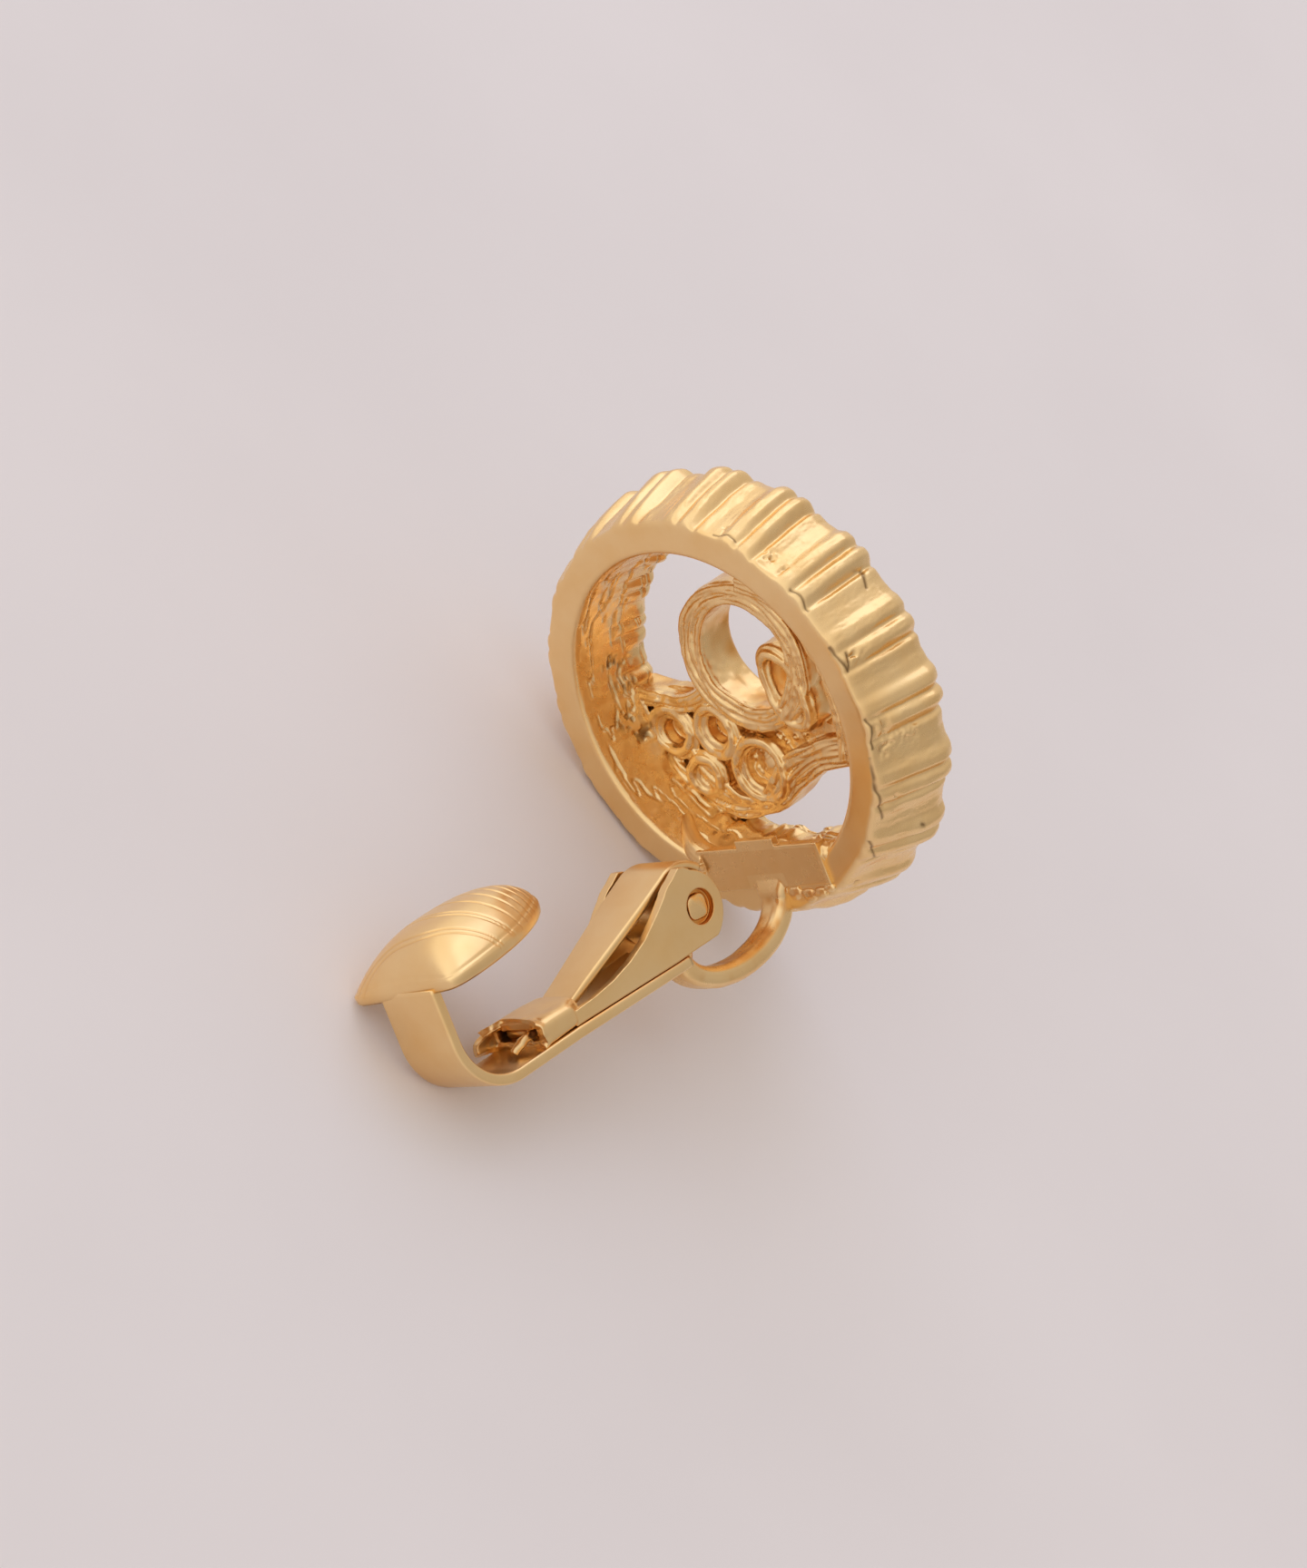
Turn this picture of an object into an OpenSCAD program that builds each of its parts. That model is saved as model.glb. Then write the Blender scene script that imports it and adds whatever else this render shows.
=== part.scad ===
// Clip on earring: a fluted ring with an openwork centre, and a sprung clip hinged at its back.
// It is drawn as worn, with X along the hinge, Y to the front and Z up, and then laid on its side.

/* [Ring] */
// Outer radius of the flat back of the ring
back_r = 12; // [10:0.1:16]
// Radius over the crests of the flutes
crest_r = 13.3; // [11.5:0.1:18]
// Depth of the flutes below their crests
flute_depth = 0.75; // [0.2:0.05:1.2]
// Depth of the ring from back to front
ring_depth = 5.8; // [4.5:0.1:8]
// Radius of the opening at the back
opening_r = 9.9; // [8.5:0.1:11.5]
// Radius of the opening at the front
front_opening_r = 9.4; // [8:0.1:11]
// Groups of flutes round the ring, each a wide flute and two narrow ridges
flute_groups = 18; // [12:1:24]

/* [Openwork] */
// Depth of the openwork's bands
band_depth = 2.9; // [1.5:0.1:4]
// How far the back of the openwork lies in from the back of the ring
openwork_inset = 3.9; // [2.5:0.1:4.5]
// Width of the oval loop's band
loop_band_w = 1.5; // [0.8:0.1:2.5]
// Width of the thinner bands
thin_band_w = 0.9; // [0.5:0.1:1.5]

/* [Hinge bracket] */
// Length of the plate across the opening
plate_l = 9.7; // [7:0.1:11]
// Height of the plate
plate_h = 2.5; // [1.5:0.1:3.5]
// Thickness of the plate
plate_t = 0.8; // [0.5:0.05:1.2]
// Height of the plate's top edge below the ring's centre
plate_drop = 7.85; // [7:0.05:9]
// Width of the strap that carries the hinge
strap_w = 1.9; // [1.2:0.1:2.4]
// Thickness of that strap
strap_t = 1; // [0.6:0.05:1.4]
// Distance of the hinge pin behind the ring's back
pin_back = 7.75; // [7:0.05:9]
// Distance of the hinge pin below the ring's centre
pin_drop = 7.85; // [7:0.05:9]
// Radius of the knuckle
knuckle_r = 2; // [1.5:0.05:2.1]
// Radius of the hinge pin
pin_r = 0.65; // [0.4:0.05:0.8]
// Clearance round the pin in the two ears
pin_clearance = 0.05; // [0.02:0.01:0.09]

/* [Clip] */
// Width over the two ears
ear_span = 5.5; // [5:0.1:7]
// Thickness of the channel's sheet
ear_t = 0.6; // [0.4:0.05:0.8]
// Radius of the round end of the ears
ear_r = 2.25; // [1.9:0.05:2.6]
// Length of the channel behind the pin
channel_l = 12.9; // [11:0.1:15]
// Width of the strip at its U turn
strip_w = 4.4; // [3.5:0.1:5]
// Thickness of the strip
strip_t = 0.65; // [0.4:0.05:0.9]
// Distance from the pin to the back of the U turn
lever_l = 18.85; // [17:0.05:22]
// Outer radius of the U turn
turn_r = 3.7; // [3:0.1:5]
// Length of the pad
pad_l = 10.9; // [9:0.1:14]
// Width of the pad
pad_w = 8.8; // [6:0.1:10]
// Height of the pad's dome
pad_dome = 2.7; // [1:0.1:3]
// Thickness of the pad's shell
pad_t = 0.8; // [0.5:0.05:1.2]
// Half the width of the spring tongue
tongue_half_w = 1.6; // [0.9:0.05:1.6]
// Thickness of the spring tongue
tongue_t = 0.5; // [0.3:0.05:0.7]

/* [Hidden] */
$fn = 48;

// Flutes: share of a group's angle, height as a share of the flutes' depth
FLUTE_ROWS = [
    [0, 0], [0.06, 0.42], [0.22, 0.28], [0.4, 0.45], [0.5, 0.95],
    [0.62, 1], [0.71, 0.45], [0.78, 0.95], [0.88, 0.95], [0.96, 0.4]
];
group_angle = 360 / flute_groups;
first_groove_angle = 28.5;
// Each group's crests differ a little in height and place
height_play = rands(-0.12, 0.08, flute_groups, 11);
angle_play = rands(-0.018, 0.018, flute_groups, 23);

// Ring section over the outer wall: share from back_r to crest_r, share of the depth, share of the flutes
WALL_ROWS = [
    [-0.08, 0, 0.2], [0.08, 0.05, 0.4], [0.5, 0.3, 0.8], [0.85, 0.58, 1],
    [1, 0.8, 1], [0.78, 0.94, 0.9], [0.2, 1.02, 0.7]
];
// Ring section down the inner wall: share from front_opening_r to opening_r, share of the depth, inward bump
INNER_ROWS = [
    [1.6, 1.02, 0.3], [0.3, 0.96, 0.45], [0, 0.84, 0.45], [0.5, 0.5, 0.1], [1, 0.05, 0], [1.3, 0, 0]
];
scallop = 0.9;

// The flutes between these two places, counted in groups, are rubbed low, so the ring lies beside them
rubbed_from = 8.7;
rubbed_to = 9.7;
rubbed_share = 0.66;

function unit(v) = v / norm(v);
function is_rubbed(g, k) = g + FLUTE_ROWS[k][0] > rubbed_from && g + FLUTE_ROWS[k][0] < rubbed_to;
function wall_height(g, k) = FLUTE_ROWS[k][1] * (1 + height_play[g]) * (is_rubbed(g, k) ? rubbed_share : 1);
function wall_angle(g, k) = first_groove_angle - (g + FLUTE_ROWS[k][0] + angle_play[g]) * group_angle;
function round_axis(r, y, a) = [r * cos(a), y, r * sin(a)];
function wall_point(g, k, s) = round_axis(
    back_r + s[0] * (crest_r - back_r) - s[2] * flute_depth * (1 - wall_height(g, k)),
    s[1] * ring_depth, wall_angle(g, k)
);
function inner_point(g, k, s) = round_axis(
    front_opening_r + s[0] * (opening_r - front_opening_r) - s[2] * scallop * wall_height(g, k),
    s[1] * ring_depth, wall_angle(g, k)
);
function ring_section(g, k) = concat(
    [for (s = WALL_ROWS) wall_point(g, k, s)],
    [for (s = INNER_ROWS) inner_point(g, k, s)]
);

// A closed mesh through a row of sections with equal numbers of points
module skin(sections, closed) {
    n = len(sections);
    m = len(sections[0]);
    last = closed ? n : n - 1;
    sides = [
        for (i = [0 : last - 1], j = [0 : m - 1])
        let (a = i * m + j, b = i * m + (j + 1) % m, c = ((i + 1) % n) * m + (j + 1) % m, d = ((i + 1) % n) * m + j)
        each [[a, b, c], [a, c, d]]
    ];
    ends = closed ? [] : [[for (j = [m - 1 : -1 : 0]) j], [for (j = [0 : m - 1]) (n - 1) * m + j]];
    polyhedron(points = [for (s = sections, p = s) p], faces = concat(sides, ends));
}

module drum_ring() {
    skin([for (g = [0 : flute_groups - 1], k = [0 : len(FLUTE_ROWS) - 1]) ring_section(g, k)], true);
}

// Directions of a path at each point
function tangents(path, closed) =
    let (n = len(path))
    [
        for (i = [0 : n - 1])
        unit(path[closed ? (i + 1) % n : min(i + 1, n - 1)] - path[closed ? (i + n - 1) % n : max(i - 1, 0)])
    ];
BAND_SECTION = [
    [-0.5, -0.28], [-0.28, -0.5], [0.28, -0.5], [0.5, -0.28],
    [0.5, 0.28], [0.28, 0.5], [-0.28, 0.5], [-0.5, 0.28]
];
// A band that follows a path of x and z, standing on its edge at y
module band(path, w, d, y, closed = false) {
    t = tangents(path, closed);
    skin([
        for (i = [0 : len(path) - 1])
        [
            for (s = BAND_SECTION)
            [path[i][0] - t[i][1] * s[0] * w, y + d * (0.5 + s[1]), path[i][1] + t[i][0] * s[0] * w]
        ]
    ], closed);
}
// A strap that follows a path of y and z, with its width along x
module strap(path, w, t_) {
    t = tangents(path, false);
    skin([
        for (i = [0 : len(path) - 1])
        [
            for (s = BAND_SECTION)
            [s[0] * w, path[i][0] - t[i][1] * s[1] * t_, path[i][1] + t[i][0] * s[1] * t_]
        ]
    ], false);
}
function oval(cx, cz, rx, rz, n, tilt = 0) = [
    for (i = [0 : n - 1])
    let (a = 360 * i / n, x = rx * cos(a), z = rz * sin(a))
    [cx + x * cos(tilt) - z * sin(tilt), cz + x * sin(tilt) + z * cos(tilt)]
];
// A smooth curve through a few points
function curve(p, steps) = concat(
    [
        for (i = [0 : len(p) - 2], k = [0 : steps - 1])
        let (u = k / steps, a = p[max(i - 1, 0)], b = p[i], c = p[i + 1], d = p[min(i + 2, len(p) - 1)])
        0.5 * (2 * b + (c - a) * u + (2 * a - 5 * b + 4 * c - d) * u * u + (3 * b - a - 3 * c + d) * u * u * u)
    ],
    [p[len(p) - 1]]
);

// Openwork: places and radii are shares of front_opening_r
loop_place = [0.015, 0.21];
loop_radii = [0.42, 0.415];
// Cells: centre x, centre z, radius x, radius z, tilt
CELLS = [
    [0.25, -0.02, 0.135, 0.24, 12],
    [-0.83, -0.22, 0.14, 0.14, 0],
    [-0.46, -0.24, 0.13, 0.14, 10],
    [-0.2, -0.52, 0.185, 0.185, 0],
    [-0.68, -0.52, 0.11, 0.11, 0]
];
// Curved bands, each through a few points
LOWER_RIM = [[-1.03, 0.02], [-0.97, -0.3], [-0.83, -0.58], [-0.58, -0.74], [-0.3, -0.76],
    [-0.08, -0.7], [0.08, -0.6], [0.3, -0.52], [0.56, -0.5], [0.92, -0.46]];
INNER_RIM = [[-0.74, -0.36], [-0.6, -0.6], [-0.32, -0.74], [-0.02, -0.52], [0.3, -0.42], [0.62, -0.4]];
LEFT_ARM = [[-1.03, 0.06], [-0.72, -0.04], [-0.5, -0.02], [-0.36, 0.06]];
STRANDS = [
    [[0.2, 0.68], [0.46, 0.54], [0.61, 0.3], [0.65, 0], [0.62, -0.28], [0.54, -0.5]],
    [[0.34, 0.62], [0.62, 0.48], [0.76, 0.26], [0.79, 0], [0.75, -0.28], [0.68, -0.5]]
];
STRUTS = [[[0.72, 0.3], [0.86, 0.44], [0.94, 0.5]], [[0.76, 0.02], [0.9, -0.02], [1.04, -0.06]]];
// Thin backing between the cells
WEB = [[-1.02, 0.04], [-0.5, 0], [-0.36, -0.06], [-0.1, -0.24], [0.32, -0.26], [0.58, -0.48],
    [0.08, -0.6], [-0.3, -0.76], [-0.58, -0.74], [-0.83, -0.6], [-0.98, -0.3]];
web_t = 0.7;
// Where the web lies in the depth of the bands
web_place = 0.62;

function spread(points) = [for (p = points) p * front_opening_r];

module openwork() {
    r = front_opening_r;
    y = openwork_inset;
    band(oval(loop_place[0] * r, loop_place[1] * r, loop_radii[0] * r, loop_radii[1] * r, 32),
        loop_band_w, band_depth, y, true);
    for (c = CELLS)
        band(oval(c[0] * r, c[1] * r, c[2] * r, c[3] * r, 14, c[4]), thin_band_w, band_depth * 0.8, y + 0.1, true);
    band(curve(spread(LOWER_RIM), 3), thin_band_w * 1.3, band_depth * 0.7, y + 0.15);
    band(curve(spread(INNER_RIM), 3), thin_band_w, band_depth * 0.6, y + 0.2);
    band(curve(spread(LEFT_ARM), 3), thin_band_w * 1.2, band_depth * 0.7, y + 0.15);
    for (s = STRANDS)
        band(curve(spread(s), 3), thin_band_w * 1.1, band_depth * 0.8, y - 0.1);
    for (s = STRUTS)
        band(curve(spread(s), 2), thin_band_w, band_depth * 0.5, y + 0.4);
    difference() {
        translate([0, y + band_depth * web_place, 0])
            rotate([90, 0, 0]) linear_extrude(web_t) polygon(spread(WEB));
        for (i = [1, 4])
            translate([CELLS[i][0] * r, y, CELLS[i][1] * r])
                rotate([-90, 0, 0]) cylinder(r = CELLS[i][2] * r - thin_band_w / 2, h = band_depth, $fn = 14);
    }
    // Round boss in the large cell
    translate([CELLS[3][0] * r, y + band_depth * 0.75, CELLS[3][1] * r]) sphere(r = CELLS[3][2] * r * 0.75, $fn = 14);
}

plate_proud = 0.15;
plate_tab = [3, 0.5, 0.5];
// Lowest point of the strap's centre line, and its reach, from the ring's centre
strap_drop = 13.05;
strap_reach = 8.5;
knuckle_l = 3.9;
plate_foot = plate_drop + plate_h;

// Solder at each end of the plate: place past its end, depth from the back, drop from its top edge, radius
SOLDER_BEADS = [[-0.3, 0.4, 0.7, 0.5], [0.6, 0.8, 1, 0.7], [0, 0.8, 1.9, 0.6]];

module hinge_plate() {
    translate([-plate_l / 2, -plate_proud, -plate_foot]) cube([plate_l, plate_t, plate_h]);
    translate([-plate_tab[0] / 2, -plate_proud, -plate_drop - plate_tab[2]])
        cube([plate_tab[0], plate_tab[1], 2 * plate_tab[2]]);
    for (side = [-1, 1])
        hull()
            for (b = SOLDER_BEADS)
                translate([side * (plate_l / 2 + b[0]), b[1], -plate_drop - b[2]]) sphere(r = b[3], $fn = 12);
}
// The strap leaves the plate's foot, turns back and up, and ends at the knuckle
strap_top_y = 0.1;
strap_mid_y = (strap_top_y - strap_reach) / 2;
// Height of the arc's ends below the ring's centre, and overlap of the strap with the plate
strap_bend_drop = plate_foot + 0.25;
strap_lap = 0.7;
strap_path = concat(
    [[3 * strap_top_y, -plate_foot + strap_lap], [2 * strap_top_y, -plate_foot]],
    [
        for (a = [0 : 12 : 180])
        [
            strap_mid_y + (strap_top_y - strap_mid_y) * cos(a),
            -strap_bend_drop - (strap_drop - strap_bend_drop) * sin(a)
        ]
    ],
    [[-pin_back - knuckle_r * 0.3, -pin_drop - knuckle_r * 0.65]]
);

module at_pin() {
    translate([0, -pin_back, -pin_drop]) children();
}
module along_x(l) {
    translate([-l / 2, 0, 0]) rotate([0, 90, 0]) children();
}
// Profiles of y and z drawn flat, stood up and given a width along x
module side_profile(w) {
    translate([-w / 2, 0, 0]) rotate([90, 0, 90]) linear_extrude(w) children();
}

module hinge_bracket() {
    hinge_plate();
    difference() {
        union() {
            strap(strap_path, strap_w, strap_t);
            at_pin() along_x(knuckle_l) cylinder(r = knuckle_r, h = knuckle_l, $fn = 32);
        }
        at_pin() along_x(knuckle_l + 1) cylinder(r = pin_r + 0.02, h = knuckle_l + 1, $fn = 32);
    }
}

pin_recess = 0.1;
module hinge_pin() {
    pin_l = ear_span - 2 * pin_recess;
    color("goldenrod") lay() at_pin() along_x(pin_l) cylinder(r = pin_r, h = pin_l);
}

// The ears' round end lies behind the pin
ear_set_back = 0.6;
// Seam between the channel and the strip, below the pin
seam_drop = 1.98;
seam_gap = 0.04;
cuff_l = 2.4;
cuff_w = 4.1;
cuff_h = 1.4;
cuff_wall = 0.35;
channel_front = 1.95;
ear_straight = 2.8;
head_r = 1;
// Upper edge of the ears: share of their length behind the pin, share of ear_r above it
EAR_TOP = [[-0.03, 0.9], [0.01, 1.08], [0.05, 1.13], [0.18, 0.8], [0.3, 0.42], [0.42, 0.05],
    [0.55, -0.21], [0.69, -0.39], [0.84, -0.49], [1.01, -0.54]];
head_depth = 0.38;
ears_l = channel_l - cuff_l;
cuff_inner_w = cuff_w - 2 * cuff_wall;

// Half of the plan of the channel, in x and y behind the pin
module channel_plan(outer, tail, front) {
    polygon([
        [-outer, front], [outer, front], [outer, -ear_straight], [tail, -ears_l],
        [-tail, -ears_l], [-outer, -ear_straight]
    ]);
}
module ear_outline() {
    translate([-ear_set_back, 0]) circle(r = ear_r);
    polygon([
        each [for (e = EAR_TOP) [-e[0] * ears_l, e[1] * ear_r]],
        [-ears_l - 0.1, -seam_drop],
        [-ear_set_back - 1, -seam_drop], [-ear_set_back, -seam_drop]
    ]);
}
module cuff_outline(w, h, r) {
    hull_w = w / 2 - r;
    for (x = [-hull_w, hull_w], z = [r, h - r])
        translate([x, z]) circle(r = r);
    translate([-w / 2, r]) square([w, h - 2 * r]);
    translate([-hull_w, 0]) square([2 * hull_w, h]);
}
module ear_channel() {
    color("gold") lay() at_pin() difference() {
        union() {
            intersection() {
                side_profile(ear_span) ear_outline();
                difference() {
                    translate([0, 0, -seam_drop]) linear_extrude(ear_r * 2 + 1)
                        channel_plan(ear_span / 2, cuff_w / 2, ear_r);
                    translate([0, 0, -seam_drop + cuff_wall]) linear_extrude(ear_r * 2 + 1)
                        channel_plan(ear_span / 2 - ear_t, cuff_inner_w / 2, ear_r + 1);
                    translate([-ear_span / 2 + ear_t, -channel_front, -seam_drop - cuff_wall])
                        cube([ear_span - 2 * ear_t, ear_r * 2, 3 * cuff_wall]);
                }
            }
            translate([0, -ears_l, -seam_drop]) rotate([90, 0, 0]) linear_extrude(cuff_l) difference() {
                cuff_outline(cuff_w, cuff_h, 0.6);
                translate([0, cuff_wall]) cuff_outline(cuff_inner_w, cuff_h - 2 * cuff_wall, 0.15);
            }
        }
        along_x(ear_span + 1) cylinder(r = pin_r + pin_clearance, h = ear_span + 1);
        for (side = [-1, 1])
            translate([side * (ear_span / 2 - head_depth + 0.5), 0, 0]) along_x(1) cylinder(r = head_r, h = 1);
    }
}

turn_y = turn_r - lever_l;
strip_top = -seam_drop - seam_gap;
strip_foot = strip_top - strip_t;
turn_z = strip_foot + turn_r;
pad_foot = 7;
strip_front = 1.95;
// Pad outline: share of its length from the back, share of half its width
PAD_ROWS = [[0, 0.8], [0.03, 0.92], [0.12, 0.99], [0.28, 0.99], [0.46, 0.92], [0.62, 0.8],
    [0.77, 0.62], [0.9, 0.4], [0.98, 0.2]];
// Pad dome: share of the outline, share of the dome's height
DOME_ROWS = [[1, 0], [0.95, 0.22], [0.85, 0.45], [0.68, 0.7], [0.46, 0.88], [0.22, 0.98]];
pad_mid = 0.4;
// The pad sits a little to the left of the strip, and turned
pad_shift = -0.35;
pad_turn = 3;
pad_count = len(PAD_ROWS);
pad_outline = concat(
    [for (p = PAD_ROWS) [p[1] * pad_w / 2, p[0] * pad_l]], [[0, pad_l]],
    [for (i = [pad_count - 1 : -1 : 0]) [-PAD_ROWS[i][1] * pad_w / 2, PAD_ROWS[i][0] * pad_l]]
);
function dome_ring(s, z, inset) = [
    for (p = pad_outline)
    let (f = s[0] * (1 - inset / (pad_w / 2)))
    [p[0] * f, pad_l * pad_mid + (p[1] - pad_l * pad_mid) * f, z]
];
module ear_pad() {
    outer = [for (i = [len(DOME_ROWS) - 1 : -1 : 0]) dome_ring(DOME_ROWS[i], DOME_ROWS[i][1] * pad_dome, 0)];
    inner = [for (s = DOME_ROWS) dome_ring(s, s[1] * (pad_dome - pad_t * 0.3) - pad_t * 0.7, pad_t * 0.8)];
    translate([pad_shift, -lever_l, strip_foot + pad_foot]) rotate(pad_turn) skin(concat(outer, inner), false);
}
module lever_strip() {
    color("khaki") lay() at_pin() {
        translate([0, 0, strip_foot]) linear_extrude(strip_t) {
            polygon([
                [-ear_span / 2, -strip_front], [ear_span / 2, -strip_front], [ear_span / 2, -ear_straight],
                [strip_w / 2, -ears_l], [strip_w / 2, turn_y], [-strip_w / 2, turn_y],
                [-strip_w / 2, -ears_l], [-ear_span / 2, -ear_straight]
            ]);
        }
        translate([-strip_w / 2, turn_y, turn_z]) rotate([0, 90, 0]) rotate([0, 0, -90])
            rotate_extrude(angle = 90) translate([turn_r - strip_t, 0]) square([strip_t, strip_w]);
        translate([-strip_w / 2, -lever_l, turn_z]) cube([strip_w, strip_t, strip_foot + pad_foot - turn_z]);
        ear_pad();
    }
}

tongue_gap = 0.08;
tongue_bend_r = knuckle_r + tongue_gap + tongue_t / 2;
tongue_root = [-channel_l + 0.4, -seam_drop + cuff_wall + seam_gap + tongue_t / 2];
tongue_knee = [-ears_l, tongue_root[1]];
// Slope at which the leaf meets the knuckle's round
tongue_slope = atan2(-tongue_knee[1], -tongue_knee[0]) + asin(tongue_bend_r / norm(tongue_knee));
tongue_end_angle = 42;
tongue_path = concat(
    [tongue_root, tongue_knee],
    [for (i = [0 : 6])
        let (a = 90 + tongue_slope + (tongue_end_angle - 90 - tongue_slope) * i / 6)
        [tongue_bend_r * cos(a), tongue_bend_r * sin(a)]]
);
module spring_tongue() {
    color("tan") lay() at_pin() strap(tongue_path, 2 * tongue_half_w, tongue_t);
}

module fluted_medallion() {
    color("gold") lay() {
        drum_ring();
        openwork();
        hinge_bracket();
    }
}

// It rests on two crests of the ring and on the edge of the U turn
rest_row = 3;
turn_rest_angle = 62;
rest_a = wall_point(floor(rubbed_from), 5, WALL_ROWS[rest_row]);
rest_b = wall_point(floor(rubbed_to), 7, WALL_ROWS[rest_row]);
rest_c = [
    -strip_w / 2,
    -pin_back + turn_y - turn_r * cos(turn_rest_angle),
    -pin_drop + turn_z - turn_r * sin(turn_rest_angle)
];
up_way = unit(cross(rest_b - rest_a, rest_c - rest_a));
front_way = unit([0, 1, 0] - up_way[1] * up_way);
right_way = cross(front_way, up_way);
// Reach of the ring's front and of the pad's back along front_way, to centre the piece
front_reach = front_way[1] * ring_depth + norm([front_way[0], front_way[2]]) * (crest_r - 0.6);
back_reach = front_way * [pad_w * 0.4, -pin_back - lever_l, -pin_drop + strip_foot + pad_foot];
middle = (front_reach + back_reach) / 2;
floor_height = up_way * rest_a;
module lay() {
    translate([0, -middle, -floor_height])
        multmatrix([
            [right_way[0], right_way[1], right_way[2], 0],
            [front_way[0], front_way[1], front_way[2], 0],
            [up_way[0], up_way[1], up_way[2], 0]
        ]) children();
}

fluted_medallion();
hinge_pin();
ear_channel();
lever_strip();
spring_tongue();
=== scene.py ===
"""A gilt clip-on earring lying on a pale table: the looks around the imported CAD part.

Shapes are worked out in the earring's own frame, in mm, as it is worn: X along the hinge pin,
Y to the front, Z up, from the centre of the ring's back. laid() takes them to the scene.
"""
import itertools
import math

import bpy
import numpy as np
from mathutils import Matrix


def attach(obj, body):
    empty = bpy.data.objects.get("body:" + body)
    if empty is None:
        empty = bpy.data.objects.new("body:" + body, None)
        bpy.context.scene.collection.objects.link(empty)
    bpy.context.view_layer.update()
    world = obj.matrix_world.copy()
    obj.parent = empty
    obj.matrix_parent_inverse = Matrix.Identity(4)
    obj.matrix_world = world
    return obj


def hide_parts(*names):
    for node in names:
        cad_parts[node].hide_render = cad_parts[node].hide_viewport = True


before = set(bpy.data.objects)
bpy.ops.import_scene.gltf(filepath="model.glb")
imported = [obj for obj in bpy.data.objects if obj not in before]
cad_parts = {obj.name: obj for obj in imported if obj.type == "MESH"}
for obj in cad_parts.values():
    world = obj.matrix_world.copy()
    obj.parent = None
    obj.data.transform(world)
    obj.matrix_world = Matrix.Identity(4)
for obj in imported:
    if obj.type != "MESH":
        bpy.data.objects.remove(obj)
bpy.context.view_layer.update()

MM = 0.001
# The turn and the shift that lay the worn earring on the table
LAY = np.array([
    [0.42689, 0.0, -0.904304],
    [-0.204828, 0.97401, -0.0966918],
    [0.880801, 0.226503, 0.415795],
])
LAY_SHIFT = np.array([0.0, 8.88173, 11.7122])

# Driving sizes of the CAD part, in mm. The ring; FIRST_GROOVE is in degrees
BACK_R, CREST_R, FLUTE_DEPTH, RING_DEPTH = 12.0, 13.3, 0.75, 5.8
OPENING_R, FRONT_R, SCALLOP = 9.9, 9.4, 0.9
GROUPS, FIRST_GROOVE = 18, 28.5
# The openwork
BAND_DEPTH, INSET, LOOP_W, THIN_W = 2.9, 3.9, 1.5, 0.9
# The bracket and the hinge
PLATE_L, PLATE_H, PLATE_T, PLATE_DROP = 9.7, 2.5, 0.8, 7.85
STRAP_W, STRAP_T, STRAP_DROP, STRAP_REACH = 1.9, 1.0, 13.05, 8.5
PIN = np.array([0.0, -7.75, -7.85])
PIN_R, HEAD_R, KNUCKLE_R, KNUCKLE_L = 0.65, 0.76, 2.0, 3.9
# The clip; SEAM is the level of the channel's floor below the pin
EAR_SPAN, CHANNEL_L, CUFF_L, CUFF_WALL, TONGUE_T = 5.5, 12.9, 2.4, 0.35, 0.5
SEAM, STRIP_T, STRIP_W, LEVER_L, TURN_R = 1.98, 0.65, 4.4, 18.85, 3.7
PAD_FOOT, PAD_L, PAD_W, PAD_DOME, PAD_T = 7.0, 10.9, 8.8, 2.7, 0.8
# The pad's shift to the left, and its turn and roll in degrees
PAD_SHIFT, PAD_TURN, PAD_ROLL = -0.35, 3, 4
GAP = 0.04

# The same play in the flutes' heights and places as in the CAD part
HEIGHT_PLAY = [-0.106, 0.013, -0.081, 0.065, -0.099, -0.075, 0.059, 0.045, -0.101,
               0.058, 0.023, -0.016, 0.037, -0.002, 0.027, 0.015, 0.074, 0.078]
ANGLE_PLAY = [0.006, -0.011, 0.010, 0.003, -0.002, -0.011, -0.014, -0.010, 0.012,
              -0.003, 0.009, 0.018, -0.018, 0.017, -0.003, 0.007, 0.009, 0.003]
# Flutes: share of a group's angle, height as a share of the flutes' depth
FLUTE_ROWS = [(0, 0), (0.06, 0.42), (0.22, 0.28), (0.4, 0.45), (0.5, 0.95),
              (0.62, 1), (0.71, 0.45), (0.78, 0.95), (0.88, 0.95), (0.96, 0.4)]
# Between these places, counted in groups, the flutes are rubbed low
RUBBED_FROM, RUBBED_TO, RUBBED_SHARE = 8.7, 9.7, 0.66


def wall_r(share):
    """Radius of the outer wall, from its foot at the back to the flutes' crests."""
    return BACK_R + share * (CREST_R - BACK_R)


def inner_r(share):
    """Radius of the inner wall, from the front opening to the back one."""
    return FRONT_R + share * (OPENING_R - FRONT_R)


# Ring section: radius, share of the depth, share of the flutes, share of the inward scallops
SECTION = [
    (wall_r(-0.08), 0, 0.2, 0), (wall_r(0.08), 0.05, 0.4, 0), (wall_r(0.5), 0.3, 0.8, 0),
    (wall_r(0.85), 0.58, 1, 0), (wall_r(1), 0.8, 1, 0), (wall_r(0.78), 0.94, 0.9, 0),
    (wall_r(0.2), 1.02, 0.7, 0), (inner_r(1.6), 1.02, 0, 0.3), (inner_r(0.3), 0.96, 0, 0.45),
    (inner_r(0), 0.84, 0, 0.45), (inner_r(0.5), 0.5, 0, 0.1), (inner_r(1), 0.05, 0, 0),
    (inner_r(1.3), 0, 0, 0),
]


def laid(points):
    """Points of the worn earring, taken to the table and to metres."""
    return (np.asarray(points) @ LAY.T + LAY_SHIFT) * MM


def lattice(i, j, k, seed):
    """A value from -1 to 1 for each cell of a grid."""
    h = (i * 73856093) ^ (j * 19349663) ^ (k * 83492791) ^ (seed * 2654435)
    h = (h ^ (h >> 13)) * 1274126177
    return ((h ^ (h >> 16)) & 0xFFFF) / 32767.5 - 1.0


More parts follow.
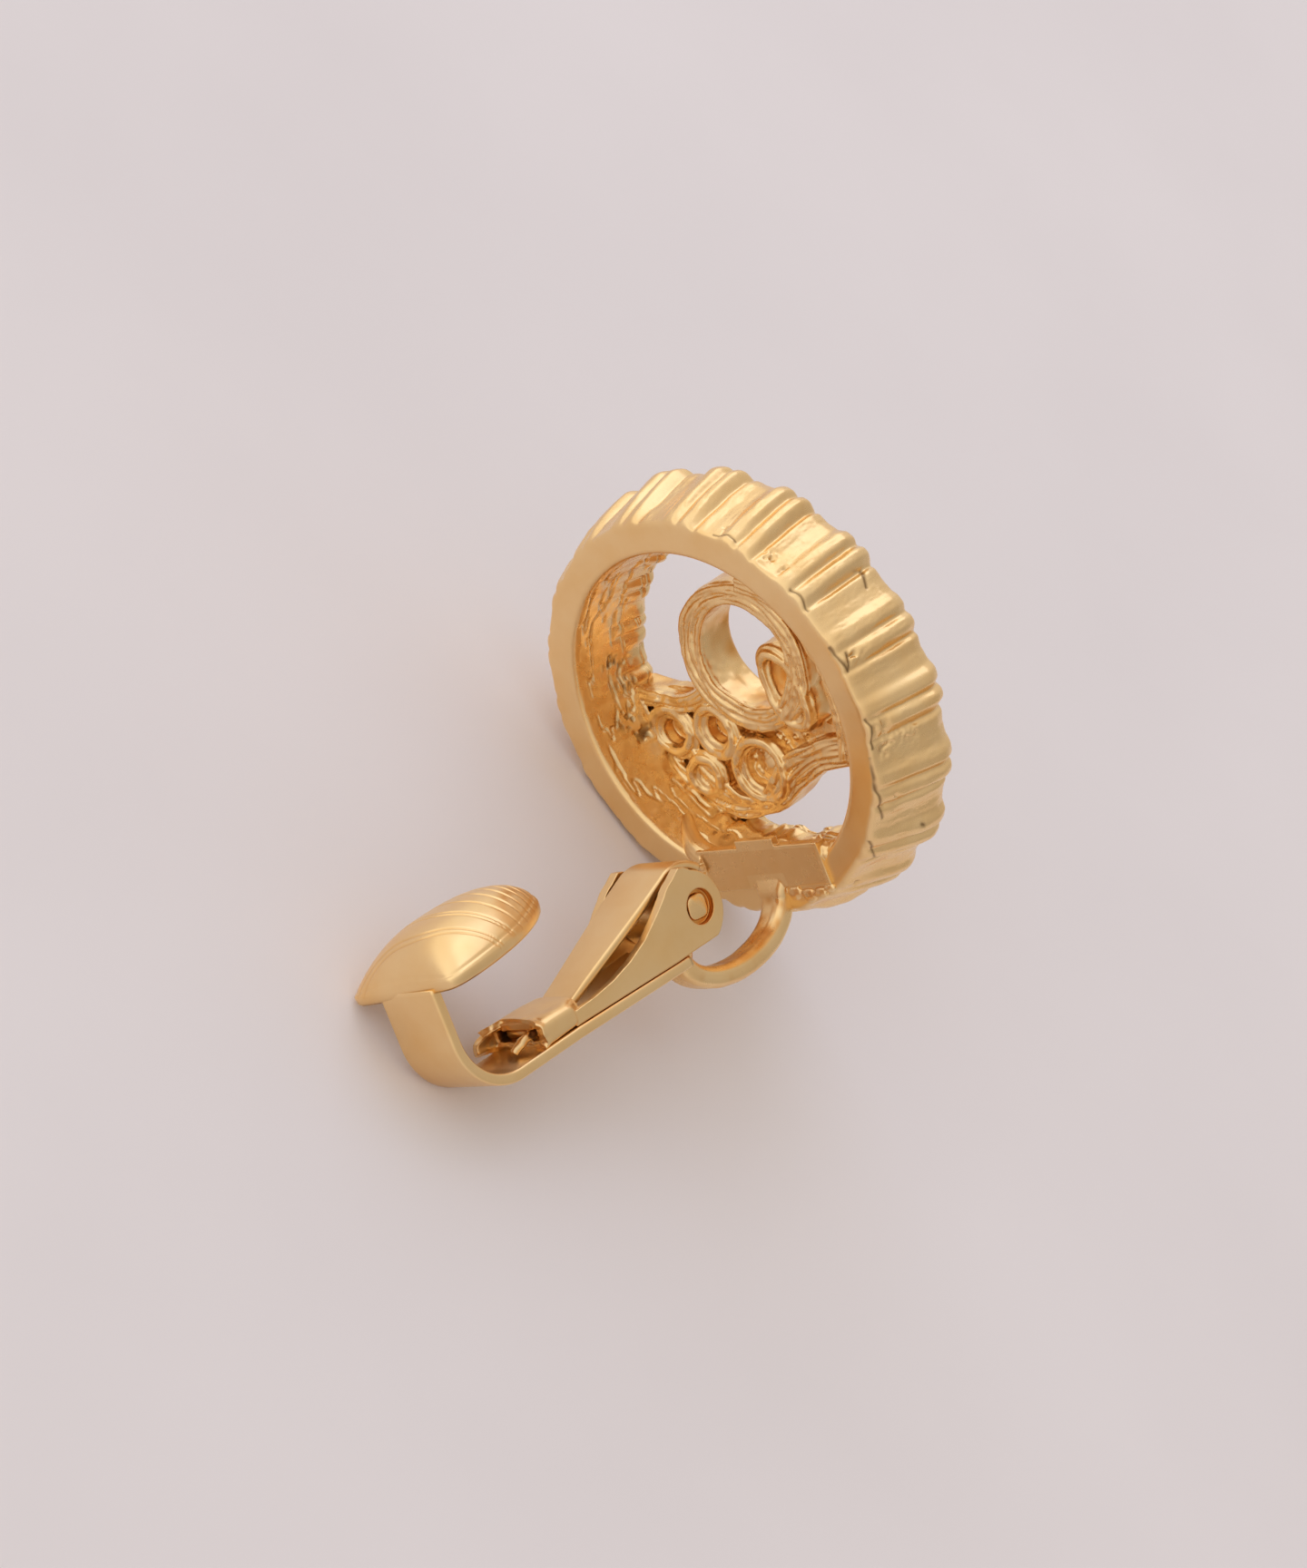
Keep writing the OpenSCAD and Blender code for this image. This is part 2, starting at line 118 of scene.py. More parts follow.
def noise(points, scale, seed):
    """Smooth noise from -1 to 1 at points, with cells of 1 / scale."""
    q = np.asarray(points) * np.asarray(scale, float)
    cell = np.floor(q).astype(np.int64)
    f = q - cell
    f = f * f * (3 - 2 * f)
    total = 0
    for corner in itertools.product((0, 1), repeat=3):
        weight = np.prod(np.where(corner, f, 1 - f), axis=-1)
        i, j, k = np.moveaxis(cell + corner, -1, 0)
        total = total + weight * lattice(i, j, k, seed)
    return total


def layered(points, layers):
    """Noise in layers: cells per mm, seed, height."""
    return sum(noise(points, scale, seed) * height for scale, seed, height in layers)


def smooth_step(x, low, high):
    t = np.clip((x - low) / (high - low), 0, 1)
    return t * t * (3 - 2 * t)


def bump(x, centre, width):
    return np.exp(-((x - centre) / width) ** 2)


def line_distance(x, y, line):
    """Distance of points x and y from a line through a few places."""
    near = np.full(x.shape, 1e9)
    for (x0, y0), (x1, y1) in zip(line[:-1], line[1:]):
        dx, dy = x1 - x0, y1 - y0
        share = np.clip(((x - x0) * dx + (y - y0) * dy) / (dx * dx + dy * dy + 1e-12), 0, 1)
        near = np.minimum(near, np.hypot(x - x0 - share * dx, y - y0 - share * dy))
    return near


def round_filter(values, sigma):
    """Smooths values along their first axis, which closes on itself."""
    reach = int(3 * sigma) + 1
    kernel = np.exp(-0.5 * (np.arange(-reach, reach + 1) / sigma) ** 2)
    kernel /= kernel.sum()
    out = np.zeros_like(values, dtype=float)
    for offset, weight in zip(range(-reach, reach + 1), kernel):
        out += weight * np.roll(values, offset, axis=0)
    return out


def smooth_curve(points, steps, closed=False):
    """A curve through points, with steps pieces between each two."""
    p = np.asarray(points, float)
    p = np.vstack([p[-1:], p, p[:2]] if closed else [p[:1], p, p[-1:]])
    rows = []
    for a, b, c, d in zip(p, p[1:], p[2:], p[3:]):
        for k in range(steps):
            u = k / steps
            rows.append(0.5 * (2 * b + (c - a) * u + (2 * a - 5 * b + 4 * c - d) * u * u
                               + (3 * b - a - 3 * c + d) * u ** 3))
    if not closed:
        rows.append(p[-1])
    return np.array(rows)


def mid_plane(yz):
    """Points of y and z, stood in the earring's middle plane."""
    yz = np.array(yz)
    return np.stack([np.zeros(len(yz)), yz[:, 0], yz[:, 1]], 1)


def grid_faces(rows, cols, wrap_rows=False):
    """Quads of a grid of points that is stored row by row; each row closes on itself."""
    i, j = np.indices((rows if wrap_rows else rows - 1, cols))
    i2, j2 = (i + 1) % rows, (j + 1) % cols
    quads = np.stack([i * cols + j, i * cols + j2, i2 * cols + j2, i2 * cols + j], -1)
    return quads.reshape(-1, 4).tolist()


class Shape:
    """Points and faces, in mm, collected before they become one object."""

    def __init__(self):
        self.points, self.faces, self.count = [], [], 0

    def add(self, points, faces):
        self.points.append(np.asarray(points, float))
        self.faces += [[v + self.count for v in face] for face in faces]
        self.count += len(points)

    def grid(self, rows, wrap_rows=False):
        """Adds rows of points, each a closed loop, with caps unless the rows close on themselves."""
        rows = np.asarray(rows)
        n, m = rows.shape[:2]
        faces = grid_faces(n, m, wrap_rows)
        if not wrap_rows:
            faces += [list(range(m))[::-1], list(range((n - 1) * m, n * m))]
        self.add(rows.reshape(-1, 3), faces)

    def all_points(self):
        return np.vstack(self.points)


def rounded_box(half_w, half_t, radius, corner_steps=4):
    """Section points around a rectangle with rounded corners."""
    radius = min(radius, half_w * 0.98, half_t * 0.98)
    out = []
    for cx, cy, first in ((1, 1, 0), (-1, 1, 90), (-1, -1, 180), (1, -1, 270)):
        for k in range(corner_steps + 1):
            a = math.radians(first + 90 * k / corner_steps)
            out.append((cx * (half_w - radius) + radius * math.cos(a),
                        cy * (half_t - radius) + radius * math.sin(a)))
    return np.array(out)


def tangents(path, closed=False):
    if closed:
        t = np.roll(path, -1, 0) - np.roll(path, 1, 0)
    else:
        t = np.gradient(path, axis=0)
    return t / np.linalg.norm(t, axis=1)[:, None]


def ribbon(shape, path, across, half_w, half_t, radius, closed=False, corner_steps=4):
    """Sweeps a rounded rectangle along path; its width lies along across."""
    path = np.asarray(path, float)
    t = tangents(path, closed)
    across = np.broadcast_to(np.asarray(across, float), path.shape)
    across = across - (across * t).sum(1)[:, None] * t
    across = across / np.linalg.norm(across, axis=1)[:, None]
    up = np.cross(t, across)
    half_w = np.broadcast_to(half_w, len(path))
    half_t = np.broadcast_to(half_t, len(path))
    rows = []
    for i in range(len(path)):
        s = rounded_box(half_w[i], half_t[i], radius, corner_steps)
        rows.append(path[i] + s[:, :1] * across[i] + s[:, 1:] * up[i])
    shape.grid(rows, wrap_rows=closed)


def wire(shape, path, radius, closed=False, sides=8):
    """A round wire along path."""
    t = tangents(path, closed)
    side = np.cross(t, (0, 1, 0))
    side /= np.linalg.norm(side, axis=1)[:, None] + 1e-9
    up = np.cross(side, t)
    radius = np.broadcast_to(radius, len(path))[:, None, None]
    a = np.linspace(0, 2 * math.pi, sides, endpoint=False)[:, None]
    shape.grid(path[:, None] + radius * (np.cos(a) * side[:, None] + np.sin(a) * up[:, None]), closed)


def lathe(shape, profile, sides, place):
    """Turns a closed profile of (along, radius) about the X axis through place."""
    a = np.linspace(0, 2 * math.pi, sides, endpoint=False)
    x, r = np.array(profile).T[..., None]
    shape.grid(np.stack([x + 0 * a, r * np.cos(a), r * np.sin(a)], -1) + place, wrap_rows=True)


def ball(first, rows, columns):
    """Points round a ball of radius 1, from first degrees off its poles, which lie along Y."""
    polar = np.radians(np.linspace(first, 180 - first, rows))[:, None]
    turn = np.radians(np.linspace(0, 360, columns, endpoint=False))
    r = np.sin(polar)
    return np.stack([r * np.cos(turn), np.cos(polar) + 0 * turn, r * np.sin(turn)], -1)


def new_object(name, data):
    obj = bpy.data.objects.new(name, data)
    bpy.context.scene.collection.objects.link(obj)
    return obj


def mesh_points(mesh):
    p = np.empty(len(mesh.vertices) * 3)
    mesh.vertices.foreach_get("co", p)
    return p.reshape(-1, 3)


def to_object(name, points, faces, body, material, shade_and_dirt=None, second=None, is_second=None):
    """A piece of the scene: the painted shade and dirt are a value at each point, and is_second marks faces
    of another material.
    """
    mesh = bpy.data.meshes.new(name)
    mesh.from_pydata(laid(points).tolist(), [], faces)
    mesh.validate()
    mesh.update()
    mesh.polygons.foreach_set("use_smooth", [True] * len(mesh.polygons))
    if shade_and_dirt is not None:
        layer = mesh.attributes.new("shade_and_dirt", "FLOAT", "POINT")
        layer.data.foreach_set("value", np.asarray(shade_and_dirt, np.float32))
    obj = new_object(name, mesh)
    mesh.materials.append(material)
    if second is not None:
        mesh.materials.append(second)
        mesh.polygons.foreach_set("material_index", is_second.astype(np.int32))
    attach(obj, body)
    return obj


# Steps that soften an edge and then give back its volume
SOFTEN = (0.5, -0.52)


def melt(points, faces, voxel, rounds):
    """Joins overlapping closed shapes into one skin, as a casting, and softens its edges."""
    mesh = bpy.data.meshes.new("melt")
    mesh.from_pydata(np.asarray(points).tolist(), [], faces)
    mesh.update()
    obj = new_object("melt", mesh)
    bpy.ops.object.select_all(action="DESELECT")
    bpy.context.view_layer.objects.active = obj
    obj.select_set(True)
    mesh.remesh_voxel_size = voxel
    bpy.ops.object.voxel_remesh()
    mesh = obj.data
    p = mesh_points(mesh)
    n = len(p)
    edges = np.empty(len(mesh.edges) * 2, np.int64)
    mesh.edges.foreach_get("vertices", edges)
    edges = edges.reshape(-1, 2)
    faces = [list(f.vertices) for f in mesh.polygons]
    bpy.data.objects.remove(obj)
    bpy.data.meshes.remove(mesh)
    degree = np.bincount(edges.ravel(), minlength=n)[:, None]
    for _ in range(rounds):
        for step in SOFTEN:
            near = np.zeros_like(p)
            for axis in range(3):
                near[:, axis] = (np.bincount(edges[:, 0], p[edges[:, 1], axis], n)
                                 + np.bincount(edges[:, 1], p[edges[:, 0], axis], n))
            p = p + step * (near / degree - p)
    return p, faces


def point_normals(points, faces):
    """The skin's direction at each point."""
    quads = np.array([f if len(f) == 4 else [f[0], f[1], f[2], f[2]] for f in faces])
    a, b, c, d = (points[quads[:, k]] for k in range(4))
    flat = np.cross(c - a, d - b)
    out = np.zeros_like(points)
    for k in range(4):
        for axis in range(3):
            out[:, axis] += np.bincount(quads[:, k], flat[:, axis], len(points))
    return out / (np.linalg.norm(out, axis=1)[:, None] + 1e-12)


# Materials

def node_material(name):
    material = bpy.data.materials.new(name)
    material.use_nodes = True
    tree = material.node_tree
    shader = tree.nodes["Principled BSDF"]
    return material, tree, shader


def add_noise(tree, scale, detail, rough=0.5):
    coords = tree.nodes.new("ShaderNodeTexCoord")
    tex = tree.nodes.new("ShaderNodeTexNoise")
    for name, value in (("Scale", scale), ("Detail", detail), ("Roughness", rough)):
        tex.inputs[name].default_value = value
    tree.links.new(coords.outputs["Object"], tex.inputs["Vector"])
    return tex.outputs["Fac"]


def map_range(tree, value, *limits):
    """Takes value from between the first two limits to between the last two."""
    node = tree.nodes.new("ShaderNodeMapRange")
    for name, limit in zip(("From Min", "From Max", "To Min", "To Max"), limits):
        node.inputs[name].default_value = limit
    tree.links.new(value, node.inputs["Value"])
    return node.outputs["Result"]


def mix_colour(tree, factor, first, second):
    node = tree.nodes.new("ShaderNodeMix")
    node.data_type = "RGBA"
    tree.links.new(factor, node.inputs["Factor"])
    for socket, value in ((node.inputs["A"], first), (node.inputs["B"], second)):
        if isinstance(value, tuple):
            socket.default_value = (*value, 1)
        else:
            tree.links.new(value, socket)
    return node.outputs["Result"]


def add_bump(tree, shader, height, strength, distance, normal=None):
    node = tree.nodes.new("ShaderNodeBump")
    node.inputs["Strength"].default_value = strength
    node.inputs["Distance"].default_value = distance
    tree.links.new(height, node.inputs["Height"])
    if normal is not None:
        tree.links.new(normal, node.inputs["Normal"])
    tree.links.new(node.outputs["Normal"], shader.inputs["Normal"])
    return node.outputs["Normal"]


GOLD = (0.93, 0.655, 0.325)
DEEP_GOLD = (0.88, 0.56, 0.23)
# Painted shade: dark brown for the ring's cracks, chips and pits; orange for the hollows of the openwork, the
# bracket and the clip, as shade lit by light bounced between gold faces. The orange also colours the dirt in
# the bracket strap's lines
SHADE_BROWN = (0.16, 0.08, 0.03)
AMBER = (0.72, 0.32, 0.065)
# Cells per metre of the clouds in the colour, of the specks in the gloss and of the metal's slow wave
CLOUD_SCALE, SPECK_SCALE, WAVE_SCALE = 420, 1500, 260


def gilt(name, roughness, grain_scale, grain_depth, worn=None, wave_depth=0.04):
    """Gilt metal; the depths of its fine grain and slow wave are in mm, and worn is the colour of the painted
    shade, with some dirt, that the per-point attribute mixes in.
    """
    material, tree, shader = node_material(name)
    shader.inputs["Metallic"].default_value = 1.0
    cloud = add_noise(tree, CLOUD_SCALE, 4)
    colour = mix_colour(tree, map_range(tree, cloud, 0.35, 0.7, 0, 0.6), GOLD, DEEP_GOLD)
    if worn is not None:
        # Painted shade, with dirt on the bracket's strap, turns the gold towards the worn colour
        shade_and_dirt = tree.nodes.new("ShaderNodeAttribute")
        shade_and_dirt.attribute_name = "shade_and_dirt"
        colour = mix_colour(tree, shade_and_dirt.outputs["Fac"], colour, worn)
    tree.links.new(colour, shader.inputs["Base Color"])
    speck = add_noise(tree, SPECK_SCALE, 3)
    tree.links.new(map_range(tree, speck, 0.3, 0.7, *roughness), shader.inputs["Roughness"])
    wave = add_noise(tree, WAVE_SCALE, 2)
    normal = add_bump(tree, shader, wave, 0.35, wave_depth * MM)
    grain = add_noise(tree, grain_scale, 5, rough=0.6)
    add_bump(tree, shader, grain, 0.5, grain_depth * MM, normal)
    return material


# worn is the colour of each part's painted shade
gold_cast = gilt("gilt_cast", (0.24, 0.32), 3200, 0.006, worn=SHADE_BROWN)
gold_back = gilt("gilt_back", (0.28, 0.33), 3600, 0.0015, worn=SHADE_BROWN, wave_depth=0.032)
gold_inner = gilt("gilt_openwork", (0.24, 0.34), 2600, 0.008, worn=AMBER)
gold_bracket = gilt("gilt_bracket", (0.26, 0.32), 3600, 0.0015, worn=AMBER, wave_depth=0.016)
gold_clip = gilt("gilt_clip", (0.29, 0.33), 5200, 0.001, worn=AMBER, wave_depth=0.016)
gold_pin = gilt("gilt_pin", (0.22, 0.28), 3000, 0.004)


# Ring

# Cracks where the crests meet the back, and one nick: places in degrees and mm from the back, width, depth
CRACKS = [
    ([(34.8, 0.27), (31.7, 0.36), (27.6, 0.3)], 0.07, 0.05),
    ([(16.5, 0.06), (12.5, 0.15), (8.6, 0.36), (13.2, 0.68)], 0.08, 0.06),
    ([(-4.8, 0.12), (-7.5, 0.36), (-13.5, 0.21)], 0.08, 0.06),
    ([(-16, 0), (-23, 0.02), (-29.8, 0.33), (-35.5, 0.71)], 0.07, 0.05),
    ([(-42.7, 0.12), (-51, 0.89)], 0.06, 0.04),
    ([(28, 4.4), (24, 4.0)], 0.1, 0.08),
    ([(-41.4, 3.3), (-41.6, 3.4)], 0.1, 0.05),
    ([(62, 0.3), (58, 0.5), (55, 0.42)], 0.06, 0.04),
]
# Chips in the crests at the back edge: place and half width in degrees, depth; then where they lie
CHIPS = [(45.5, 1.6, 0.34), (40.0, 0.9, 0.2), (11.5, 1.5, 0.34), (-8.5, 1.9, 0.38),
         (-15, 2.6, 0.2), (-30, 1.7, 0.34), (-62, 1.6, 0.25), (60.5, 0.8, 0.22)]
CHIP_Y, CHIP_HALF_L = 0.75, 0.55
# Groove with a pebbled skin: place, half width in degrees, first and last distance from the back
PEBBLED = (-14, 2.2, 0.6, 3.6)
# Pits in the inner wall: place in degrees, distance from the back, half width in degrees
WALL_PITS = [(163, 2.9, 4.0), (171, 3.4, 2.5), (183, 2.7, 3.2), (190, 3.3, 3.2)]
PIT_HALF_L = 0.7
# Layers of noise: cells per mm round the ring and along it, seed, height
UNEVEN = [((0.45, 0.5, 1), 3, 0.07), ((1.1, 0.9, 1), 4, 0.045)]
TOOLED = [((5.5, 1.6, 1), 5, 0.014), ((9, 7, 1), 6, 0.007)]
PEBBLES = [((4.5, 4.5, 1), 22, 0.07), ((9, 9, 1), 23, 0.04)]
STREAKS = [((0.22, 1.7, 1), 12, 1), ((0.8, 3.6, 1), 13, 0.3)]
# How far the section's edges and the flutes are rounded, in mm and in degrees
EDGE_ROUND, FLUTE_ROUND = 0.2, 0.42
# The ring's back is polished up to this distance from it
POLISHED_Y = 0.22


def flute_heights(columns):
    """Height of the flutes, 0 to 1, at evenly spaced angles."""
    angles, heights = [], []
    for g in range(GROUPS):
        for share, height in FLUTE_ROWS:
            angles.append(FIRST_GROOVE - (g + share + ANGLE_PLAY[g]) * 360 / GROUPS)
            rubbed = RUBBED_SHARE if RUBBED_FROM < g + share < RUBBED_TO else 1
            heights.append(height * (1 + HEIGHT_PLAY[g]) * rubbed)
    line = np.interp(np.arange(columns) * 360 / columns, angles, heights, period=360)
    return round_filter(line, FLUTE_ROUND * columns / 360)


def ring_section(steps):
    """The section as evenly spaced rows: radius, distance from the back, flutes, scallops."""
    section = np.array(SECTION)
    section[:, 1] *= RING_DEPTH
    loop = np.vstack([section, section[:1]])
    along = np.r_[0, np.cumsum(np.linalg.norm(np.diff(loop[:, :2], axis=0), axis=1))]
    at = np.linspace(0, along[-1], steps, endpoint=False)
    rows = np.stack([np.interp(at, along, loop[:, k]) for k in range(4)], 1)
    return round_filter(rows, EDGE_ROUND / (along[-1] / steps))


def degrees_off(degrees, centre):
    """Degrees round the ring from centre, -180 to 180."""
    return (degrees - centre + 180) % 360 - 180


def wall_marks(degrees, r, y, flat, on_wall):
    """Movement of the chips, the cracks and the pebbled groove, and painted shade in the chips and cracks."""
    move, shade_and_dirt = 0, 0
    ragged = np.clip(0.4 + 1.4 * noise(flat, (3.2, 3.8, 1), 9), 0, 1)
    for centre, width, depth in CHIPS:
        chip = bump(degrees_off(degrees, centre), 0, width) * bump(y, CHIP_Y, CHIP_HALF_L) * on_wall * ragged
        move = move - chip * depth
        # Painted shade in the chip's hollow
        shade_and_dirt = np.maximum(shade_and_dirt, np.clip(chip * 0.9 - 0.3, 0, 0.45))
    off = degrees_off(degrees, 0) + 0 * y
    mm_per_degree = math.radians(1) * BACK_R
    waver = 0.05 * noise(flat, (2.2, 2.2, 1), 21)
    for line, width, depth in CRACKS:
        line = [(place * mm_per_degree, at_y) for place, at_y in line]
        cut = bump(line_distance(off * mm_per_degree, y + waver, line), 0, width)
        # The polished back has none
        cut = cut * smooth_step(r, BACK_R - 0.4, BACK_R - 0.15)
        move = move - depth * cut
        # Painted shade along the crack
        shade_and_dirt = np.maximum(shade_and_dirt, 0.85 * cut)
    place, width, first, last = PEBBLED
    pebbled = bump(off, place, width) * smooth_step(y, first, first + 0.6) * smooth_step(y, last, last - 0.6)
    return move + on_wall * pebbled * layered(flat, PEBBLES), shade_and_dirt


def inner_marks(degrees, y, flat):
    """Movement and painted shade of the inner wall: streaks with dark pits, and a lumpy front edge."""
    crack = smooth_step(np.abs(layered(flat, STREAKS)), 0.16, 0.0)
    lumps = noise(flat, (0.65, 0.8, 1), 14) * (0.05 + 0.12 * smooth_step(y, 2.6, 4.2))
    pits = np.zeros_like(crack)
    for centre, at_y, width in WALL_PITS:
        pits = np.maximum(pits, bump(degrees_off(degrees, centre), 0, width) * bump(y, at_y, PIT_HALF_L))
    pit_hollow = smooth_step(noise(flat, (2.0, 4.6, 1), 16), 0.05, 0.4) * pits
    move = crack * 0.1 - lumps + noise(flat, (2.4, 2.8, 1), 15) * 0.015 + 0.09 * pit_hollow
    # Painted shade in the streaks, stronger near the pits, and in the pits
    return move, np.maximum(np.clip(crack * (0.3 + 0.6 * pits) - 0.12, 0, 0.6), 0.9 * pit_hollow)


def drum():
    columns, steps = ((1500, 210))
    section = ring_section(steps)
    r, y, flutes, scallops = (section[None, :, k] for k in range(4))
    degrees = np.arange(columns)[:, None] * 360 / columns
    a = np.radians(degrees)
    h = flute_heights(columns)[:, None]
    radius = r - flutes * FLUTE_DEPTH * (1 - h) - scallops * SCALLOP * h
    on_wall = smooth_step(flutes, 0.25, 0.7) * np.ones_like(h)
    on_inner = smooth_step(OPENING_R + 0.2 - r, 0, 0.15) * smooth_step(y, 0.2, 0.7) * np.ones_like(h)
    # The wall rolled out flat; its slow noise fades where the ring closes on itself
    flat = np.stack([a * BACK_R * np.ones_like(y), y * np.ones_like(a), 0 * y * a], -1)
    blend = smooth_step(np.minimum(degrees, 360 - degrees), 0, 6)
    wall_move, wall_shade = wall_marks(degrees, r, y, flat, on_wall)
    inner_move, inner_shade = inner_marks(degrees, y, flat)
    cast = on_wall * (layered(flat, UNEVEN) + layered(flat, TOOLED)) * blend
    radius = radius + cast + wall_move + on_inner * inner_move
    # Painted shade in the wall's cracks and chips and in the inner wall's streaks and pits
    shade_and_dirt = np.maximum(wall_shade, on_inner * inner_shade)
    points = np.stack([radius * np.cos(a), y * np.ones_like(a), radius * np.sin(a)], -1)
    # The back is never quite flat
    back = smooth_step(0.5 - y, 0, 0.5) * np.ones_like(a)
    points[..., 1] += back * (0.03 + 0.03 * noise(flat, (0.35, 1, 1), 20) * blend)
    faces = grid_faces(columns, steps, wrap_rows=True)
    is_back = np.tile(section[:, 1] < POLISHED_Y, columns)
    return to_object("fluted_ring", points.reshape(-1, 3), faces, "medallion", gold_cast,
                     shade_and_dirt.ravel(), gold_back, is_back)


# Openwork: places and radii are shares of FRONT_R

# Large loop and round cells: centre, radius across and up, tilt in degrees
LOOP = (0.015, 0.21, 0.42, 0.415, 0)
CELLS = [(0.25, -0.02, 0.135, 0.24, 12), (-0.83, -0.22, 0.14, 0.14, 0), (-0.46, -0.24, 0.13, 0.14, 10),
         (-0.2, -0.52, 0.185, 0.185, 0), (-0.68, -0.52, 0.11, 0.11, 0)]
# The cell that holds the boss, and the boss's radius as a share of the cell's
BOSS_CELL, BOSS_SHARE = 3, 0.75
# Rims: route, share of THIN_W, share of BAND_DEPTH, distance in front of INSET
RIMS = [
    ([(-1.03, 0.02), (-0.97, -0.3), (-0.83, -0.58), (-0.58, -0.74), (-0.3, -0.76),
      (-0.08, -0.7), (0.08, -0.6), (0.3, -0.52), (0.56, -0.5), (0.92, -0.46)], 1.3, 0.7, 0.15),
    ([(-0.74, -0.36), (-0.6, -0.6), (-0.32, -0.74), (-0.02, -0.52), (0.3, -0.42), (0.62, -0.4)], 1, 0.6, 0.2),
    ([(-1.03, 0.06), (-0.72, -0.04), (-0.5, -0.02), (-0.36, 0.06)], 1.2, 0.7, 0.15),
]
STRANDS = [[(0.2, 0.68), (0.46, 0.54), (0.61, 0.3), (0.65, 0), (0.62, -0.28), (0.54, -0.5)],
           [(0.34, 0.62), (0.62, 0.48), (0.76, 0.26), (0.79, 0), (0.75, -0.28), (0.68, -0.5)]]
STRUTS = [[(0.72, 0.3), (0.86, 0.44), (0.94, 0.5)], [(0.76, 0.02), (0.9, -0.02), (1.04, -0.06)]]
WEB = [(-1.02, 0.04), (-0.5, 0), (-0.36, -0.06), (-0.1, -0.24), (0.32, -0.26), (0.58, -0.48),
       (0.08, -0.6), (-0.3, -0.76), (-0.58, -0.74), (-0.83, -0.6), (-0.98, -0.3)]
# The web's thickness in mm, and its front as a share of BAND_DEPTH
WEB_T, WEB_PLACE = 0.7, 0.62
# Grains in the hollows: how many tries, the middle and the half size of their field, and how far it reaches
GRAINS, GRAIN_MIDDLE, GRAIN_FIELD, GRAIN_REACH = 46, (-0.25, -0.42), (0.72, 0.3), 0.8
# Radius of a grain and its play, in mm
GRAIN_R, GRAIN_PLAY = 0.24, 0.1
# The knot ends inside the ring's wall, at this radius in mm
KNOT_REACH = 10.6
KNOT_VOXEL = 0.075


def oval(cx, cz, rx, rz, tilt, n):
    """n points of x and z around a tilted oval."""
    a = np.linspace(0, 2 * math.pi, n, endpoint=False)
    x, z = rx * np.cos(a), rz * np.sin(a)
    c, s = math.cos(math.radians(tilt)), math.sin(math.radians(tilt))
    return np.stack([cx + x * c - z * s, cz + x * s + z * c], 1) * FRONT_R


def in_plane(path, y):
    """Points of x and z, stood at depth y."""
    return np.stack([path[:, 0], np.full(len(path), y), path[:, 1]], 1)


def edge_band(shape, path, w, d, y, closed=False, radius=0.3):
    """A band on edge: w thick in the openwork's plane, d deep from y to the front."""
    ribbon(shape, in_plane(path, y + d / 2), (0, 1, 0), d / 2, w / 2, radius, closed)


def hair(shape, path, w, y, count, radius, seed, closed=False, sway=0.1):
    """Fine strands laid side by side over a band's back edge."""
    t = tangents(path, closed)
    side = np.stack([-t[:, 1], t[:, 0]], 1)
    length = np.r_[0, np.cumsum(np.linalg.norm(np.diff(path, axis=0), axis=1))]
    for k in range(count):
        share = (k + 0.5) / count - 0.5
        wave = noise(np.stack([length * 0.5, np.full(len(path), k * 7.3), 0 * length], 1), 1, seed) * sway
        if closed:
            wave = wave * smooth_step(np.minimum(length, length[-1] - length), 0, 1.5)
        line = path + side * (share * w * 0.92 + wave)[:, None]
        depth = y + 0.1 * abs(share) * w + 0.05 * np.sin(length * 1.7 + k * 2.1)
        points = np.stack([line[:, 0], depth, line[:, 1]], 1)
        wire(shape, points, radius, closed)


def closed_bands(shape):
    """The large loop and the round cells."""
    loop = oval(*LOOP, 120)
    edge_band(shape, loop, LOOP_W * 0.94, BAND_DEPTH, INSET + 0.06, closed=True, radius=0.35)
    hair(shape, loop, LOOP_W, INSET + 0.08, count=4, radius=0.21, seed=31, closed=True, sway=0.14)
    for index, cell in enumerate(CELLS):
        ring = oval(*cell, 64)
        edge_band(shape, ring, THIN_W * 1.15, BAND_DEPTH * 0.8, INSET + 0.14, closed=True)
        hair(shape, ring, THIN_W, INSET + 0.2, count=1, radius=0.34, seed=40 + index, closed=True, sway=0.16)


def open_bands(shape):
    """The rims, the strands beside the loop, and the struts that tie them to the wall."""
    for index, (route, width, depth, lift) in enumerate(RIMS):
        line = smooth_curve(np.array(route) * FRONT_R, 12)
        edge_band(shape, line, THIN_W * width * 0.92, BAND_DEPTH * depth, INSET + lift)
        hair(shape, line, THIN_W * width, INSET + lift + 0.04, count=3, radius=0.19, seed=50 + index)
    for index, route in enumerate(STRANDS):
        line = smooth_curve(np.array(route) * FRONT_R, 12)
        edge_band(shape, line, THIN_W, BAND_DEPTH * 0.8, INSET - 0.06)
        hair(shape, line, THIN_W * 1.1, INSET - 0.04, count=3, radius=0.18, seed=60 + index)
    for route in STRUTS:
        line = smooth_curve(np.array(route) * FRONT_R, 8)
        edge_band(shape, line, THIN_W, BAND_DEPTH * 0.5, INSET + 0.4)


def boss(shape):
    x, z, r = np.array(CELLS[BOSS_CELL][:3]) * FRONT_R
    shape.grid(np.array([x, INSET + BAND_DEPTH * 0.75, z]) + r * BOSS_SHARE * ball(4, 16, 24))


def grains(shape, y):
    """Small grains in the hollows, at depth y."""
    for k in range(GRAINS):
        u = noise(np.array([[k * 3.7, 1.3, 0.5], [k * 5.1, 8.3, 2.5], [k * 2.3, 4.4, 9.1]]), 1, 77)
        x, z = (middle + half * share for middle, half, share in zip(GRAIN_MIDDLE, GRAIN_FIELD, u))
        if x * x + z * z <= GRAIN_REACH:
            centre = np.array([x * FRONT_R, y, z * FRONT_R])
            shape.grid(centre + (GRAIN_R + GRAIN_PLAY * u[2]) * ball(6, 6, 8))


